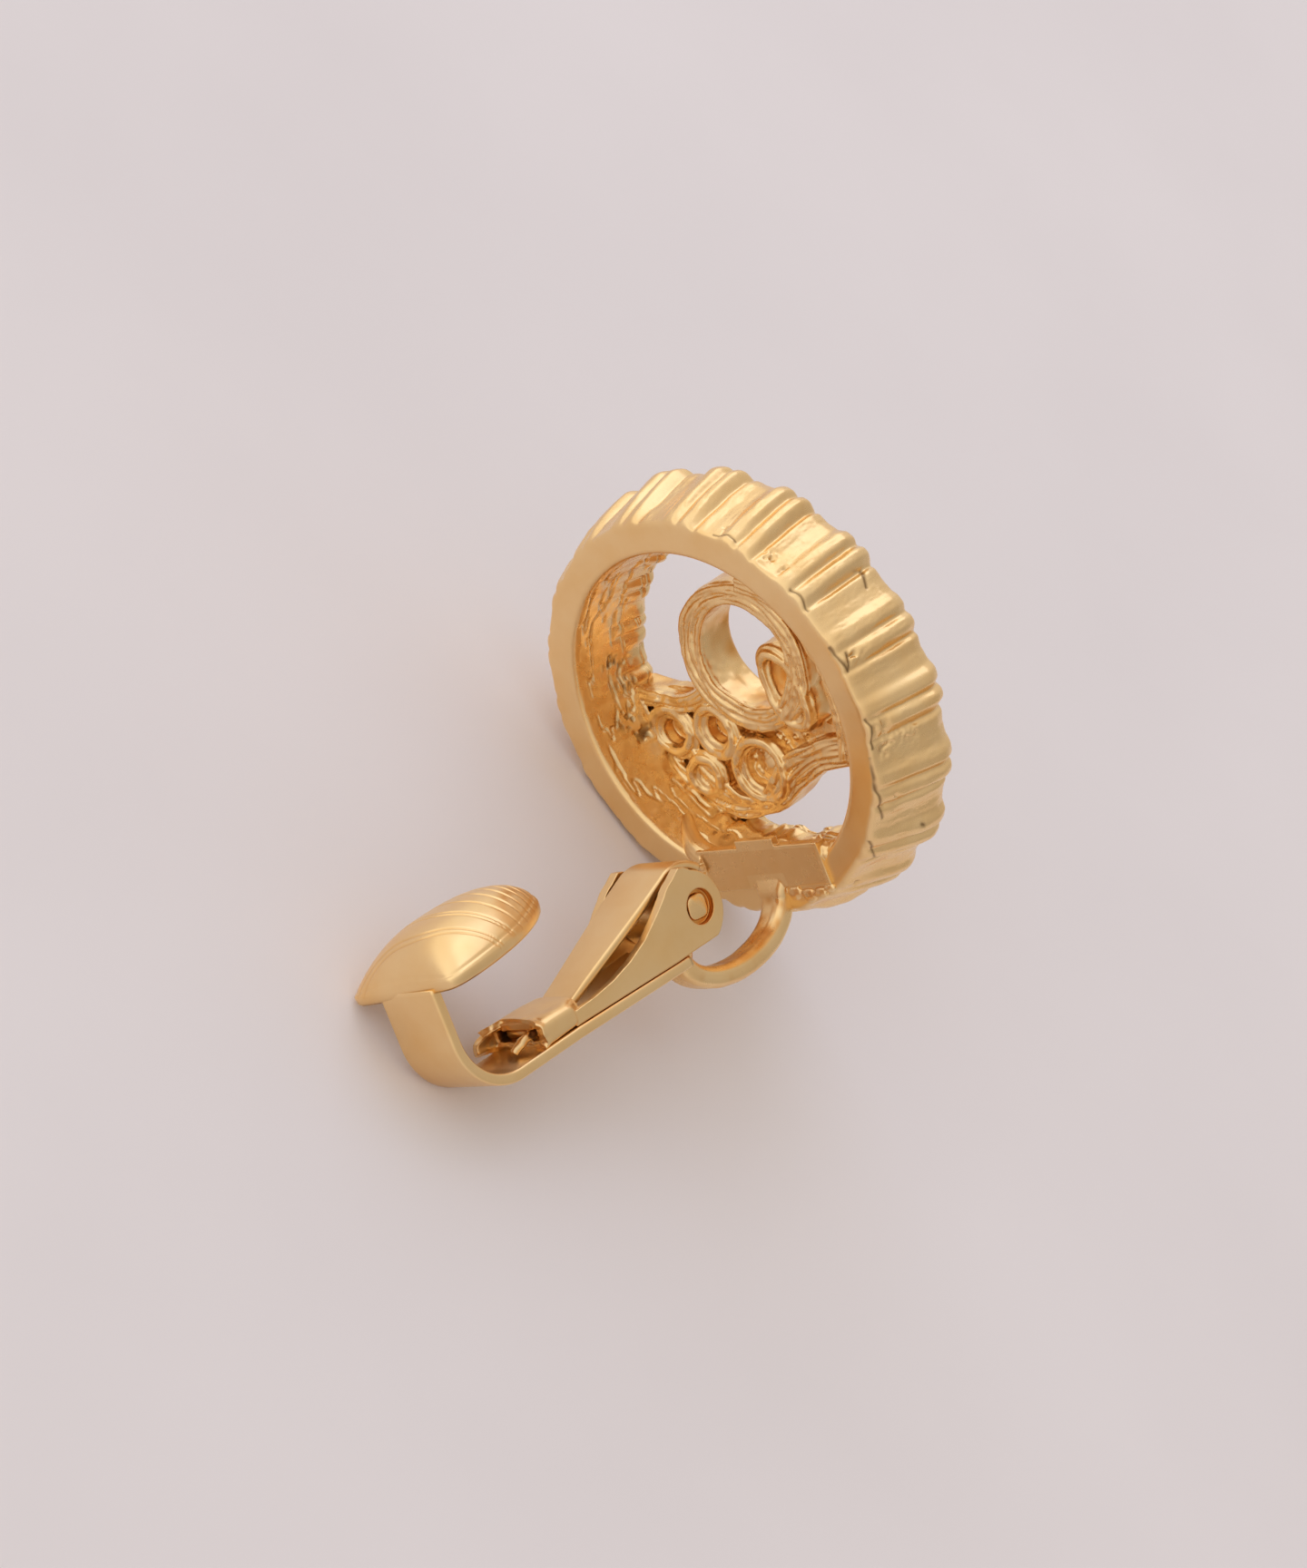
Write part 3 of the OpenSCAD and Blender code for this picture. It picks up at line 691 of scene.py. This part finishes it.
def openwork():
    shape = Shape()
    closed_bands(shape)
    open_bands(shape)
    web = smooth_curve(np.array(WEB) * FRONT_R, 6, closed=True)
    web_back = INSET + BAND_DEPTH * WEB_PLACE - WEB_T
    shape.grid([in_plane(web, web_back), in_plane(web, web_back + WEB_T)])
    boss(shape)
    grains(shape, web_back + 0.05)
    points, faces = melt(shape.all_points(), shape.faces, KNOT_VOXEL, rounds=7)
    normals = point_normals(points, faces)
    rough_side = smooth_step(normals[:, 1], 0.4, -0.3) * smooth_step(-points[:, 2], -9, 0.5)
    move = noise(points, 0.8, 80) * 0.1 * rough_side + noise(points, 2.6, 81) * (0.015 + 0.03 * rough_side)
    points = points + normals * move[:, None]
    reach = np.hypot(points[:, 0], points[:, 2])
    points[:, [0, 2]] *= np.minimum(1, KNOT_REACH / np.maximum(reach, 1e-6))[:, None]
    # Painted shade, patchy with noise, in the deeper part of the openwork
    hollow = smooth_step(points[:, 1], 4.3, 5.6)
    shade_and_dirt = np.clip(0.45 - noise(points, 1.1, 83) * 0.9, 0, 0.85) * hollow
    return to_object("openwork_knot", points, faces, "medallion", gold_inner, shade_and_dirt)


# Hinge bracket

# The plate's lower edge and its back face
PLATE_FOOT, PLATE_FACE = -PLATE_DROP - PLATE_H, -0.15
TAB_HALF_L = 1.5
# Lumps of solder at both ends of the plate: past the end, forward, below its top; half sizes; seed
END_SOLDER = [
    ((-0.2, PLATE_T / 2 + 0.05, 0.75), (0.7, 0.5, 0.55), 5),
    ((0.5, PLATE_T, 1.0), (0.8, 0.65, 0.75), 8),
    ((0, PLATE_T, 1.9), (0.65, 0.55, 0.65), 11),
]
# Lumps of solder under the plate: centre, half sizes; then the pits in them: centre, radius
SOLDER = [
    ((0, 0.2, -10.45), (1.35, 0.36, 0.5)),
    ((1.7, 0.02, -10.75), (0.6, 0.24, 0.42)), ((2.7, 0.04, -10.95), (0.6, 0.24, 0.42)),
    ((3.7, 0.02, -10.85), (0.6, 0.22, 0.34)), ((4.5, 0.03, -10.6), (0.42, 0.2, 0.26)),
]
SOLDER_PITS = [((2.15, -0.2, -11.1), 0.22), ((3.3, -0.18, -10.65), 0.14), ((4.3, -0.1, -10.9), 0.12)]
PIT_DEPTH = 0.14
# The solder that ran up the inner wall, thinner towards its end
SOLDER_RUN = [(-4.3, 0.4, -8.8), (-5.5, 0.65, -8.05), (-6.45, 1.3, -7.3), (-7.2, 2.2, -6.6)]
RUN_R, RUN_END_R = 0.95, 0.35
BRACKET_VOXEL = 0.055


def strap_path():
    """From the plate down, round the U and up to the knuckle."""
    top_y = 0.1
    mid_y = (top_y - STRAP_REACH) / 2
    arc_z = PLATE_FOOT - 0.25
    rows = [(0.85, PLATE_FOOT + 1.1), (0.55, PLATE_FOOT + 0.55), (0.25, PLATE_FOOT + 0.05)]
    for a in range(0, 181, 6):
        c, s = math.cos(math.radians(a)), math.sin(math.radians(a))
        rows.append((mid_y + (top_y - mid_y) * c, arc_z - (STRAP_DROP + arc_z) * s))
    rows.append((PIN[1] - KNUCKLE_R * 0.3, PIN[2] - KNUCKLE_R * 0.65))
    return mid_plane(smooth_curve(rows, 3))


def blob(shape, centre, size, seed):
    """A lump of solder."""
    unit = ball(5, 14, 20)
    swell = 1 + 0.12 * noise(unit + seed, 2.2, seed)
    shape.grid(np.array(centre) + unit * swell[..., None] * np.array(size))


def crossbar(shape, first, last, steps, y, z, half_h, half_t, radius):
    """A straight bar across the earring, from first to last."""
    path = np.stack([np.linspace(first, last, steps), np.full(steps, y), np.full(steps, z)], 1)
    ribbon(shape, path, (0, 0, 1), half_h, half_t, radius)


def plate(shape):
    """The plate with its low tab, and a fine ridge along its top beside the tab."""
    end, half_h, half_t = PLATE_L / 2, PLATE_H / 2, PLATE_T / 2
    crossbar(shape, -end, end, 40, PLATE_FACE + half_t, PLATE_FOOT + half_h, half_h, half_t, 0.08)
    crossbar(shape, -TAB_HALF_L, TAB_HALF_L, 8, 0.1, -PLATE_DROP + 0.1, 0.4, 0.25, 0.06)
    for first, last in ((-end, -TAB_HALF_L), (TAB_HALF_L, end)):
        crossbar(shape, first, last, 12, -0.08, -PLATE_DROP - 0.04, 0.11, 0.11, 0.1)


def solder(shape):
    for side in (-1, 1):
        for (past, y, drop), size, seed in END_SOLDER:
            blob(shape, (side * (PLATE_L / 2 + past), y, -PLATE_DROP - drop), size, seed + side)
    for centre, size in SOLDER:
        blob(shape, centre, size, 17)
    run = smooth_curve(SOLDER_RUN, 8)
    wire(shape, run, np.linspace(RUN_R, RUN_END_R, len(run)), sides=16)


def strap_and_knuckle(shape):
    path = strap_path()
    flare = 1 + 0.35 * smooth_step(path[:, 2], PLATE_FOOT - 0.7, PLATE_FOOT + 0.3)
    ribbon(shape, path, (1, 0, 0), STRAP_W / 2 * flare, STRAP_T / 2 + 0.12, 0.5, corner_steps=6)
    half, bore, bevel = KNUCKLE_L / 2, PIN_R + 0.03, 0.15
    lathe(shape, [(-half, bore), (half, bore), (half, KNUCKLE_R - bevel), (half - bevel, KNUCKLE_R),
                  (-half + bevel, KNUCKLE_R), (-half, KNUCKLE_R - bevel)], 72, PIN)


def is_plate_face(points):
    """Which points lie on the plate's polished back, without the strap's foot in its middle."""
    x, y, z = np.abs(points[:, 0]), points[:, 1], points[:, 2]
    on_plate = (x < PLATE_L / 2 - 0.3) & (z > PLATE_FOOT + 0.1) & (z < -PLATE_DROP - 0.15)
    return on_plate & (y > -0.6) & (y < 0.1) & ((x > TAB_HALF_L) | (z > PLATE_FOOT + 0.9))


def bracket():
    shape = Shape()
    plate(shape)
    solder(shape)
    strap_and_knuckle(shape)
    points, faces = melt(shape.all_points(), shape.faces, BRACKET_VOXEL, rounds=8)
    normals = point_normals(points, faces)
    on_strap = smooth_step(-points[:, 2], -PLATE_FOOT, 0.6 - PLATE_FOOT)
    lined = noise(points, (5.5, 0.6, 0.6), 91) * 0.02 * on_strap
    points = points + normals * (noise(points, 1.2, 90) * 0.018 + lined)[:, None]
    on_plate = is_plate_face(points)
    points[on_plate, 1] = PLATE_FACE
    # Dirt in the strap's lines; painted shade inside its U, on the plate and in the pits
    shade_and_dirt = np.clip(noise(points, (6, 1, 1), 92) - 0.45, 0, 0.25) * on_strap
    inner_side = smooth_step(-normals[:, 1] + normals[:, 2], 0.2, 1.0) * on_strap
    shade_and_dirt = np.maximum(shade_and_dirt, inner_side * np.clip(0.35 + 0.5 * noise(points, 2.4, 93), 0, 0.8))
    shade_and_dirt = np.maximum(shade_and_dirt, 0.2 * on_plate)
    for centre, radius in SOLDER_PITS:
        away = np.linalg.norm(points - np.array(centre), axis=1)
        points = points - normals * (PIT_DEPTH * bump(away, 0, radius))[:, None]
        shade_and_dirt = np.maximum(shade_and_dirt, 0.95 * bump(away, 0, radius))
    return to_object("hinge_bracket", points, faces, "medallion", gold_bracket, shade_and_dirt)


# Hinge pin

# The pin ends this far inside the ears' faces
PIN_INSET = 0.1
# Its ends: how square they are, as a share of the radius, and how far their two hammered slopes fall
HEAD_SQUARE, HEAD_SLOPE = 0.07, 0.1


def rivet():
    """The hinge pin, with its ends peened wide and a little square in the ears' recesses."""
    half = EAR_SPAN / 2 - PIN_INSET
    profile = [(half, 0.02), (half, 0.45), (half - 0.04, HEAD_R - 0.1), (half - 0.12, HEAD_R),
               (half - 0.2, HEAD_R - 0.04), (half - 0.26, PIN_R - 0.01)]
    rows = np.array([(-x, r) for x, r in profile] + profile[::-1])
    x, r = rows[:, :1], rows[:, 1:]
    turn = np.linspace(0, 2 * math.pi, 96, endpoint=False)
    radius = r * np.where(np.abs(x) > half - 0.23, 1 - HEAD_SQUARE * np.cos(4 * turn + 0.5), 1)
    is_end = np.where(np.abs(x) > half - 0.1, 1.0, 0.0)
    fall = HEAD_SLOPE * np.abs(radius * np.cos(turn - 0.6) / HEAD_R) * is_end
    shape = Shape()
    shape.grid(np.stack([x - np.sign(x) * fall, radius * np.cos(turn), radius * np.sin(turn)], -1) + PIN)
    return to_object("peened_pin", shape.all_points(), shape.faces, "medallion", gold_pin)


# Clip

# The channel's tail and floor, and the way from the pin back to the cuff
TAIL_Y, FLOOR_Z = PIN[1] - CHANNEL_L, PIN[2] - SEAM
EARS_L = CHANNEL_L - CUFF_L
# The cuff behind the ears: half sizes, wall, length, and how square its section is (1 is an ellipse)
TUBE_HALF_W, TUBE_HALF_H, TUBE_WALL, TUBE_L = 2.12, 0.86, 0.36, 3.1
TUBE_SQUARE_TOP, TUBE_SQUARE_FOOT = 0.62, 0.3
# Its torn end: place and half width in degrees, and how much longer it is there
TORN = [(186, 26, 1.35), (132, 15, 0.95), (95, 22, -0.3)]
# The curled finger in it: across, in front of the tail, above the floor
FINGER = [(0.95, 0.8, 0.7), (0.9, -0.25, 0.68), (0.75, -0.8, 0.45), (0.6, -1.1, 0.22)]
FINGER_R, FINGER_END_R = 0.27, 0.24
CHANNEL_VOXEL = 0.05


def from_node(node_name):
    """Points, in the worn frame, and faces of a CAD node."""
    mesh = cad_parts[node_name].data
    points = (mesh_points(mesh) / MM - LAY_SHIFT) @ LAY
    return points, [list(f.vertices) for f in mesh.polygons]


def cuff_tube(shape):
    turn = np.linspace(0, 360, 96, endpoint=False)
    c, s = np.cos(np.radians(turn)), np.sin(np.radians(turn))
    flap = sum(longer * bump(degrees_off(turn, place), 0, width) for place, width, longer in TORN)
    end = TAIL_Y - 0.08 - flap + 0.07 * np.sin(turn * 0.13)
    square = np.where(s < 0, TUBE_SQUARE_FOOT, TUBE_SQUARE_TOP)
    across = np.sign(c) * np.abs(c) ** square
    rise = np.sign(s) * np.abs(s) ** square
    middle = FLOOR_Z + TUBE_HALF_H - 0.1
    outer, inner = [], []
    for share in np.linspace(0, 1, 16):
        y = end * (1 - share) + (TAIL_Y + TUBE_L) * share
        lip = 0.06 * smooth_step(0.12 - share, 0, 0.1)
        half_w = TUBE_HALF_W + 0.04 - 0.3 * smooth_step(share, 0.75, 1)
        half_h = TUBE_HALF_H - 0.12 * share ** 2
        dent = 0.1 * bump(turn, 70, 20) * bump(share, 0.55, 0.25)
        for rows, thin in ((outer, dent - lip), (inner, TUBE_WALL + dent * 0.5 - lip)):
            rows.append(np.stack([across * (half_w - thin), y, middle + rise * (half_h - thin)], 1))
    shape.grid(outer + inner[::-1], wrap_rows=True)


def cuff_finger(shape):
    route = smooth_curve(np.array(FINGER) + (0, TAIL_Y, FLOOR_Z), 6)
    wire(shape, route, np.linspace(FINGER_R, FINGER_END_R, len(route)), sides=12)


def seam_fade(local_y):
    """0 at the cuff and behind it, 1 towards the pin."""
    return smooth_step(local_y, -EARS_L - 0.6, -EARS_L + 1.2)


def channel_shade(local, points):
    """Painted shade in the pin's recess, inside the cuff and along the seam."""
    off_pin = np.hypot(local[:, 1], local[:, 2])
    recess = smooth_step(-off_pin, -1.08, -0.96) * smooth_step(np.abs(local[:, 0]), 2, 2.2)
    level = local[:, 2] + SEAM - TUBE_HALF_H
    across = np.abs(local[:, 0] / (TUBE_HALF_W - TUBE_WALL * 0.7)) ** 1.6
    inside = smooth_step(-np.hypot(across, level / (TUBE_HALF_H - 0.25)), -1.06, -0.96)
    inside = inside * smooth_step(-local[:, 1], EARS_L - 0.4, CHANNEL_L - 1)
    off_finger = np.hypot(local[:, 0] - 0.8, level + 0.3)
    inside = inside * (0.75 + 0.25 * noise(points, 1.9, 103)) * smooth_step(off_finger, 0.3, 0.5)
    seam = smooth_step(-(local[:, 2] + SEAM), -0.1, -0.02) * (0.55 + 0.3 * noise(points, 1.3, 104))
    seam = seam * seam_fade(local[:, 1])
    return np.clip(np.maximum.reduce([0.9 * recess, 0.6 * inside, seam]), 0, 1)


def channel():
    """The CAD part's ears and channel, with the cuff's torn tube melted onto them."""
    shape = Shape()
    points, faces = from_node("ear_channel")
    shape.add(points, faces)
    cuff_tube(shape)
    cuff_finger(shape)
    points, faces = melt(shape.all_points(), shape.faces, CHANNEL_VOXEL, rounds=6)
    normals = point_normals(points, faces)
    local = points - PIN
    torn = smooth_step(-local[:, 1], CHANNEL_L - 0.7, CHANNEL_L)
    move = noise(points, 1.1, 101) * 0.012 + noise(points, 3.1, 102) * 0.05 * torn
    points = points + normals * move[:, None]
    shade_and_dirt = channel_shade(local, points)
    return to_object("ear_channel_shell", points, faces, "lever", gold_clip, shade_and_dirt)


# The tongue starts this far inside the cuff's tail and ends at this angle round the knuckle
TONGUE_INSET, TONGUE_END = 0.4, 42
# Its half width, at the root and over the knuckle
ROOT_HALF_W, LEAF_HALF_W = 1.3, 1.85


def tongue():
    """The leaf: level in the cuff, then straight from its knee to the bend over the knuckle."""
    bend = KNUCKLE_R + 0.08 + TONGUE_T / 2
    height = -SEAM + CUFF_WALL + GAP + TONGUE_T / 2
    root, knee = np.array([TONGUE_INSET - CHANNEL_L, height]), np.array([-EARS_L, height])
    slope = math.degrees(math.atan2(-knee[1], -knee[0]) + math.asin(bend / np.linalg.norm(knee)))
    turn = np.radians(np.linspace(90 + slope, TONGUE_END, 30))
    arc = bend * np.stack([np.cos(turn), np.sin(turn)], 1)
    level = root + (knee - root) * np.linspace(0, 0.97, 8)[:, None]
    straight = knee + (arc[0] - knee) * np.linspace(0, 1, 24)[1:-1, None]
    path = mid_plane(np.vstack([level, straight, arc])) + PIN
    wider = smooth_step(np.linspace(0, 1, len(path)), 0.1, 0.5)
    half_w = ROOT_HALF_W + (LEAF_HALF_W - ROOT_HALF_W) * wider
    shape = Shape()
    ribbon(shape, path, (1, 0, 0), half_w, TONGUE_T / 2 - 0.01, 0.17, corner_steps=5)
    return to_object("tongue_leaf", shape.all_points(), shape.faces, "lever", gold_clip)


# The strip's lower face; its front end, and where it starts to narrow, from the pin
STRIP_FOOT, STRIP_START, NARROW_FROM = -SEAM - GAP - STRIP_T, -1.95, 2.8


def strip():
    """The bar under the channel, and its U turn up to the pad."""
    turn_y, turn_z = TURN_R - LEVER_L, STRIP_FOOT + TURN_R
    mid = TURN_R - STRIP_T / 2
    flat = [(y, STRIP_FOOT + STRIP_T / 2) for y in np.linspace(STRIP_START, turn_y, 60)]
    quarter = np.radians(np.linspace(0, 90, 40))[1:]
    arc = [(turn_y - mid * math.sin(a), turn_z - mid * math.cos(a)) for a in quarter]
    rise = [(-LEVER_L + STRIP_T / 2, z) for z in np.linspace(turn_z, STRIP_FOOT + PAD_FOOT - 0.05, 14)[1:]]
    path = mid_plane(flat + arc + rise)
    half_w = np.interp(-path[:, 1], [NARROW_FROM, EARS_L], [EAR_SPAN / 2, STRIP_W / 2]) - 0.01
    shape = Shape()
    ribbon(shape, path + PIN, (1, 0, 0), half_w, STRIP_T / 2, 0.17, corner_steps=6)
    points = shape.all_points()
    local = points - PIN
    top = STRIP_FOOT + STRIP_T
    on_top = smooth_step(local[:, 2], top - 0.12, top - 0.02) * (local[:, 2] < top + 0.1)
    # Painted shade along the strip's top under the channel's seam, fading out at the cuff
    shade_and_dirt = 0.7 * seam_fade(local[:, 1]) * on_top
    return to_object("lever_bar", points, shape.faces, "lever", gold_clip, shade_and_dirt)


# Pad outline: share of its length from the back, share of half its width
PAD_ROWS = [(0, 0.8), (0.03, 0.92), (0.12, 0.99), (0.28, 0.99), (0.46, 0.92), (0.62, 0.8),
            (0.77, 0.62), (0.9, 0.4), (0.98, 0.2)]
# The dome's top, as a share of the pad's length from the back
PAD_MID = 0.4
PAD_LOOPS = 210
# The pad's edge shows as a narrow upright band: share of the outline, height
PAD_RIM = [(0.965, -0.46), (0.99, -0.32), (0.998, -0.06)]
# Grip lines across the pad: place as a share of its length, from the back; then their depth and half width
GRIP_LINES = [0.13, 0.17, 0.32, 0.35, 0.48, 0.59, 0.68, 0.76, 0.83, 0.89, 0.94]
GRIP_DEPTH, GRIP_HALF_W = 0.085, 0.06


def pad_outline():
    """Points round the pad, and those of its right side alone."""
    right = [(w * PAD_W / 2, s * PAD_L) for s, w in PAD_ROWS]
    tip = [(0, PAD_L)]
    left = [(-x, y) for x, y in right[::-1]]
    back_edge = [(x, 0) for x in np.linspace(left[-1][0], right[0][0], 36)[1:-1]]
    outline = np.vstack([smooth_curve(right + tip + left, 20), back_edge])
    return round_filter(outline, 8.0), smooth_curve(right + tip, 20)


def drawn_in(outline, share):
    """The outline, drawn in towards the dome's top."""
    centre = np.array([0, PAD_L * PAD_MID])
    return centre + (outline - centre) * share


def dome_height(xy, side):
    """Height of the pad's dome, 0 to 1."""
    half_w = np.interp(xy[:, 1], side[:, 1], side[:, 0]) + 0.01
    across = np.clip(np.abs(xy[:, 0]) / half_w, 0, 1)
    along = xy[:, 1] / PAD_L - PAD_MID
    along = np.clip(np.where(along < 0, -along / PAD_MID, along / (1 - PAD_MID)), 0, 1)
    return (1 - across ** 2.2) ** 0.72 * (1 - along ** 2.6) ** 0.6


def grip_marks(xy):
    """How deep the grip lines are, 0 to 1: slanted, a little wavy, and fainter at the left."""
    x, y = xy[:, 0], xy[:, 1]
    slant = 0.1 * x * np.abs(x) + 0.22 * x
    marks = np.zeros(len(xy))
    for k, line in enumerate(GRIP_LINES):
        wander = 0.05 * np.sin(x * 0.7 + k)
        marks += bump(y + wander, line * PAD_L + slant * (1.1 - line), GRIP_HALF_W)
    return np.clip(marks, 0, 1) * (0.6 + 0.4 * smooth_step(x, -3.5, 2))


def pad():
    outline, side = pad_outline()
    loops = []
    for share in np.linspace(0.005, 1, 34):
        xy = drawn_in(outline, share * (1 - PAD_T * 0.8 / (PAD_W / 2)))
        z = dome_height(xy, side) * (PAD_DOME - PAD_T * 0.3) - PAD_T * 0.7
        loops.append(np.column_stack([xy, z]))
    for share, height in PAD_RIM:
        loops.append(np.column_stack([drawn_in(outline, share), np.full(len(outline), height)]))
    shade_and_dirt = [np.zeros(len(outline)) for _ in loops]
    for share in 1 - np.linspace(0, 1, PAD_LOOPS) ** 1.15 * 0.995:
        xy = drawn_in(outline, share)
        marks = grip_marks(xy)
        z = dome_height(xy, side) * PAD_DOME * 0.98 - 0.05 * bump(share, 0.965, 0.012)
        loops.append(np.column_stack([xy, z - GRIP_DEPTH * marks]))
        # Painted shade in the grip lines
        shade_and_dirt.append(0.4 * marks)
    grid = np.array(loops)
    grid[..., 2] += grid[..., 0] * math.sin(math.radians(PAD_ROLL))
    c, s = math.cos(math.radians(PAD_TURN)), math.sin(math.radians(PAD_TURN))
    grid[..., :2] = grid[..., :2] @ np.array([[c, s], [-s, c]])
    shape = Shape()
    shape.grid(grid + PIN + np.array([PAD_SHIFT, -LEVER_L, STRIP_FOOT + PAD_FOOT]))
    shade_and_dirt = np.ravel(shade_and_dirt)
    return to_object("grip_pad", shape.all_points(), shape.faces, "lever", gold_clip, shade_and_dirt)


ring_piece = drum()
knot_piece = openwork()
bracket_piece = bracket()
pin_piece = rivet()
channel_piece = channel()
tongue_piece = tongue()
bar_piece = strip()
pad_piece = pad()
for piece in (ring_piece, knot_piece, bracket_piece):
    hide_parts("fluted_medallion")
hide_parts("hinge_pin")
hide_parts("ear_channel")
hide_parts("spring_tongue")
for piece in (bar_piece, pad_piece):
    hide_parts("lever_strip")


# Table, light and camera

TABLE_COLOURS = (0.86, 0.80, 0.80), (0.825, 0.765, 0.765)
TABLE_HALF_W = 1.2


def table():
    material, tree, shader = node_material("table_top")
    cloud = add_noise(tree, 22, 4)
    colour = mix_colour(tree, map_range(tree, cloud, 0.35, 0.65, 0, 1), *TABLE_COLOURS)
    tree.links.new(colour, shader.inputs["Base Color"])
    shader.inputs["Roughness"].default_value = 0.75
    grain = add_noise(tree, 900, 3)
    add_bump(tree, shader, grain, 0.15, 0.05 * MM)
    mesh = bpy.data.meshes.new("table_top")
    corners = [(x * TABLE_HALF_W, y * TABLE_HALF_W, 0) for x, y in ((-1, -1), (1, -1), (1, 1), (-1, 1))]
    mesh.from_pydata(corners, [], [(0, 1, 2, 3)])
    obj = new_object("table_top", mesh)
    mesh.materials.append(material)


# The photograph's camera, in the worn frame: right, up and towards the camera
VIEW = np.array([[0.6791, 0.6449, -0.3506], [0.0707, 0.4180, 0.9057], [0.7307, -0.6398, 0.2383]])
# Its distance in mm, and the photograph's scale, size and the pixel where the ring's centre lies
VIEW_DISTANCE = 300
PIXELS_PER_MM = 19.87
IMAGE = (1440, 1728)
CENTRE_PX = (779.67, 793.32)
# Any sensor gives the same picture, since the lens is worked out from it
SENSOR_W = 36


def placed(axes, place):
    """A matrix with these axes as its columns, at place."""
    matrix = Matrix.Identity(4)
    for row in range(3):
        for col in range(3):
            matrix[row][col] = axes[row][col]
        matrix[row][3] = place[row]
    return matrix


def camera():
    data = bpy.data.cameras.new("camera")
    data.sensor_fit = "HORIZONTAL"
    data.sensor_width = SENSOR_W
    data.lens = PIXELS_PER_MM * VIEW_DISTANCE / IMAGE[0] * SENSOR_W
    data.shift_x = (IMAGE[0] / 2 - CENTRE_PX[0]) / IMAGE[0]
    data.shift_y = (CENTRE_PX[1] - IMAGE[1] / 2) / IMAGE[0]
    obj = new_object("camera", data)
    obj.matrix_world = placed((VIEW @ LAY.T).T, laid(VIEW[2] * VIEW_DISTANCE))
    bpy.context.scene.camera = obj


def soft_box(name, direction, distance, size, power, colour):
    """A lamp that faces the earring; direction leads from there to it."""
    data = bpy.data.lights.new(name, "AREA")
    data.shape = "RECTANGLE"
    data.size, data.size_y = size
    data.energy = power
    data.color = colour
    obj = new_object(name, data)
    back = np.array(direction) / np.linalg.norm(direction)
    side = np.cross((0, 0, 1), back)
    side /= np.linalg.norm(side)
    axes = np.stack([side, np.cross(back, side), back], 1)
    obj.matrix_world = placed(axes, LAMP_TARGET + back * distance)


LAMP_TARGET = np.array([0, 0, 0.01])
# The room is brightest to the left, towards the camera and low
BRIGHT_SIDE = np.array([-0.32, -0.15, -0.1])
# The room's brightness at right angles to that side
ROOM_LEVEL = 0.84
# Its colour away from the bright side, and there
WARM_SIDE, COOL_SIDE = (1.0, 0.93, 0.88), (1.0, 0.985, 0.97)


def studio():
    world = bpy.data.worlds.new("studio")
    bpy.context.scene.world = world
    world.use_nodes = True
    tree = world.node_tree
    sky = tree.nodes["Background"]
    coords = tree.nodes.new("ShaderNodeTexCoord")
    along = tree.nodes.new("ShaderNodeVectorMath")
    along.operation = "DOT_PRODUCT"
    tree.links.new(coords.outputs["Generated"], along.inputs[0])
    along.inputs[1].default_value = tuple(BRIGHT_SIDE / np.linalg.norm(BRIGHT_SIDE))
    change = np.linalg.norm(BRIGHT_SIDE)
    level = map_range(tree, along.outputs["Value"], -1, 1, ROOM_LEVEL - change, ROOM_LEVEL + change)
    tree.links.new(level, sky.inputs["Strength"])
    warmth = map_range(tree, along.outputs["Value"], -0.8, 0.6, 0, 1)
    tree.links.new(mix_colour(tree, warmth, WARM_SIDE, COOL_SIDE), sky.inputs["Color"])
    soft_box("key", direction=(-0.60, 0.36, 0.66), distance=0.5, size=(0.4, 0.36), power=0.25,
             colour=(0.86, 0.97, 1.38))


table()
camera()
studio()
bpy.context.scene.view_settings.view_transform = "Standard"
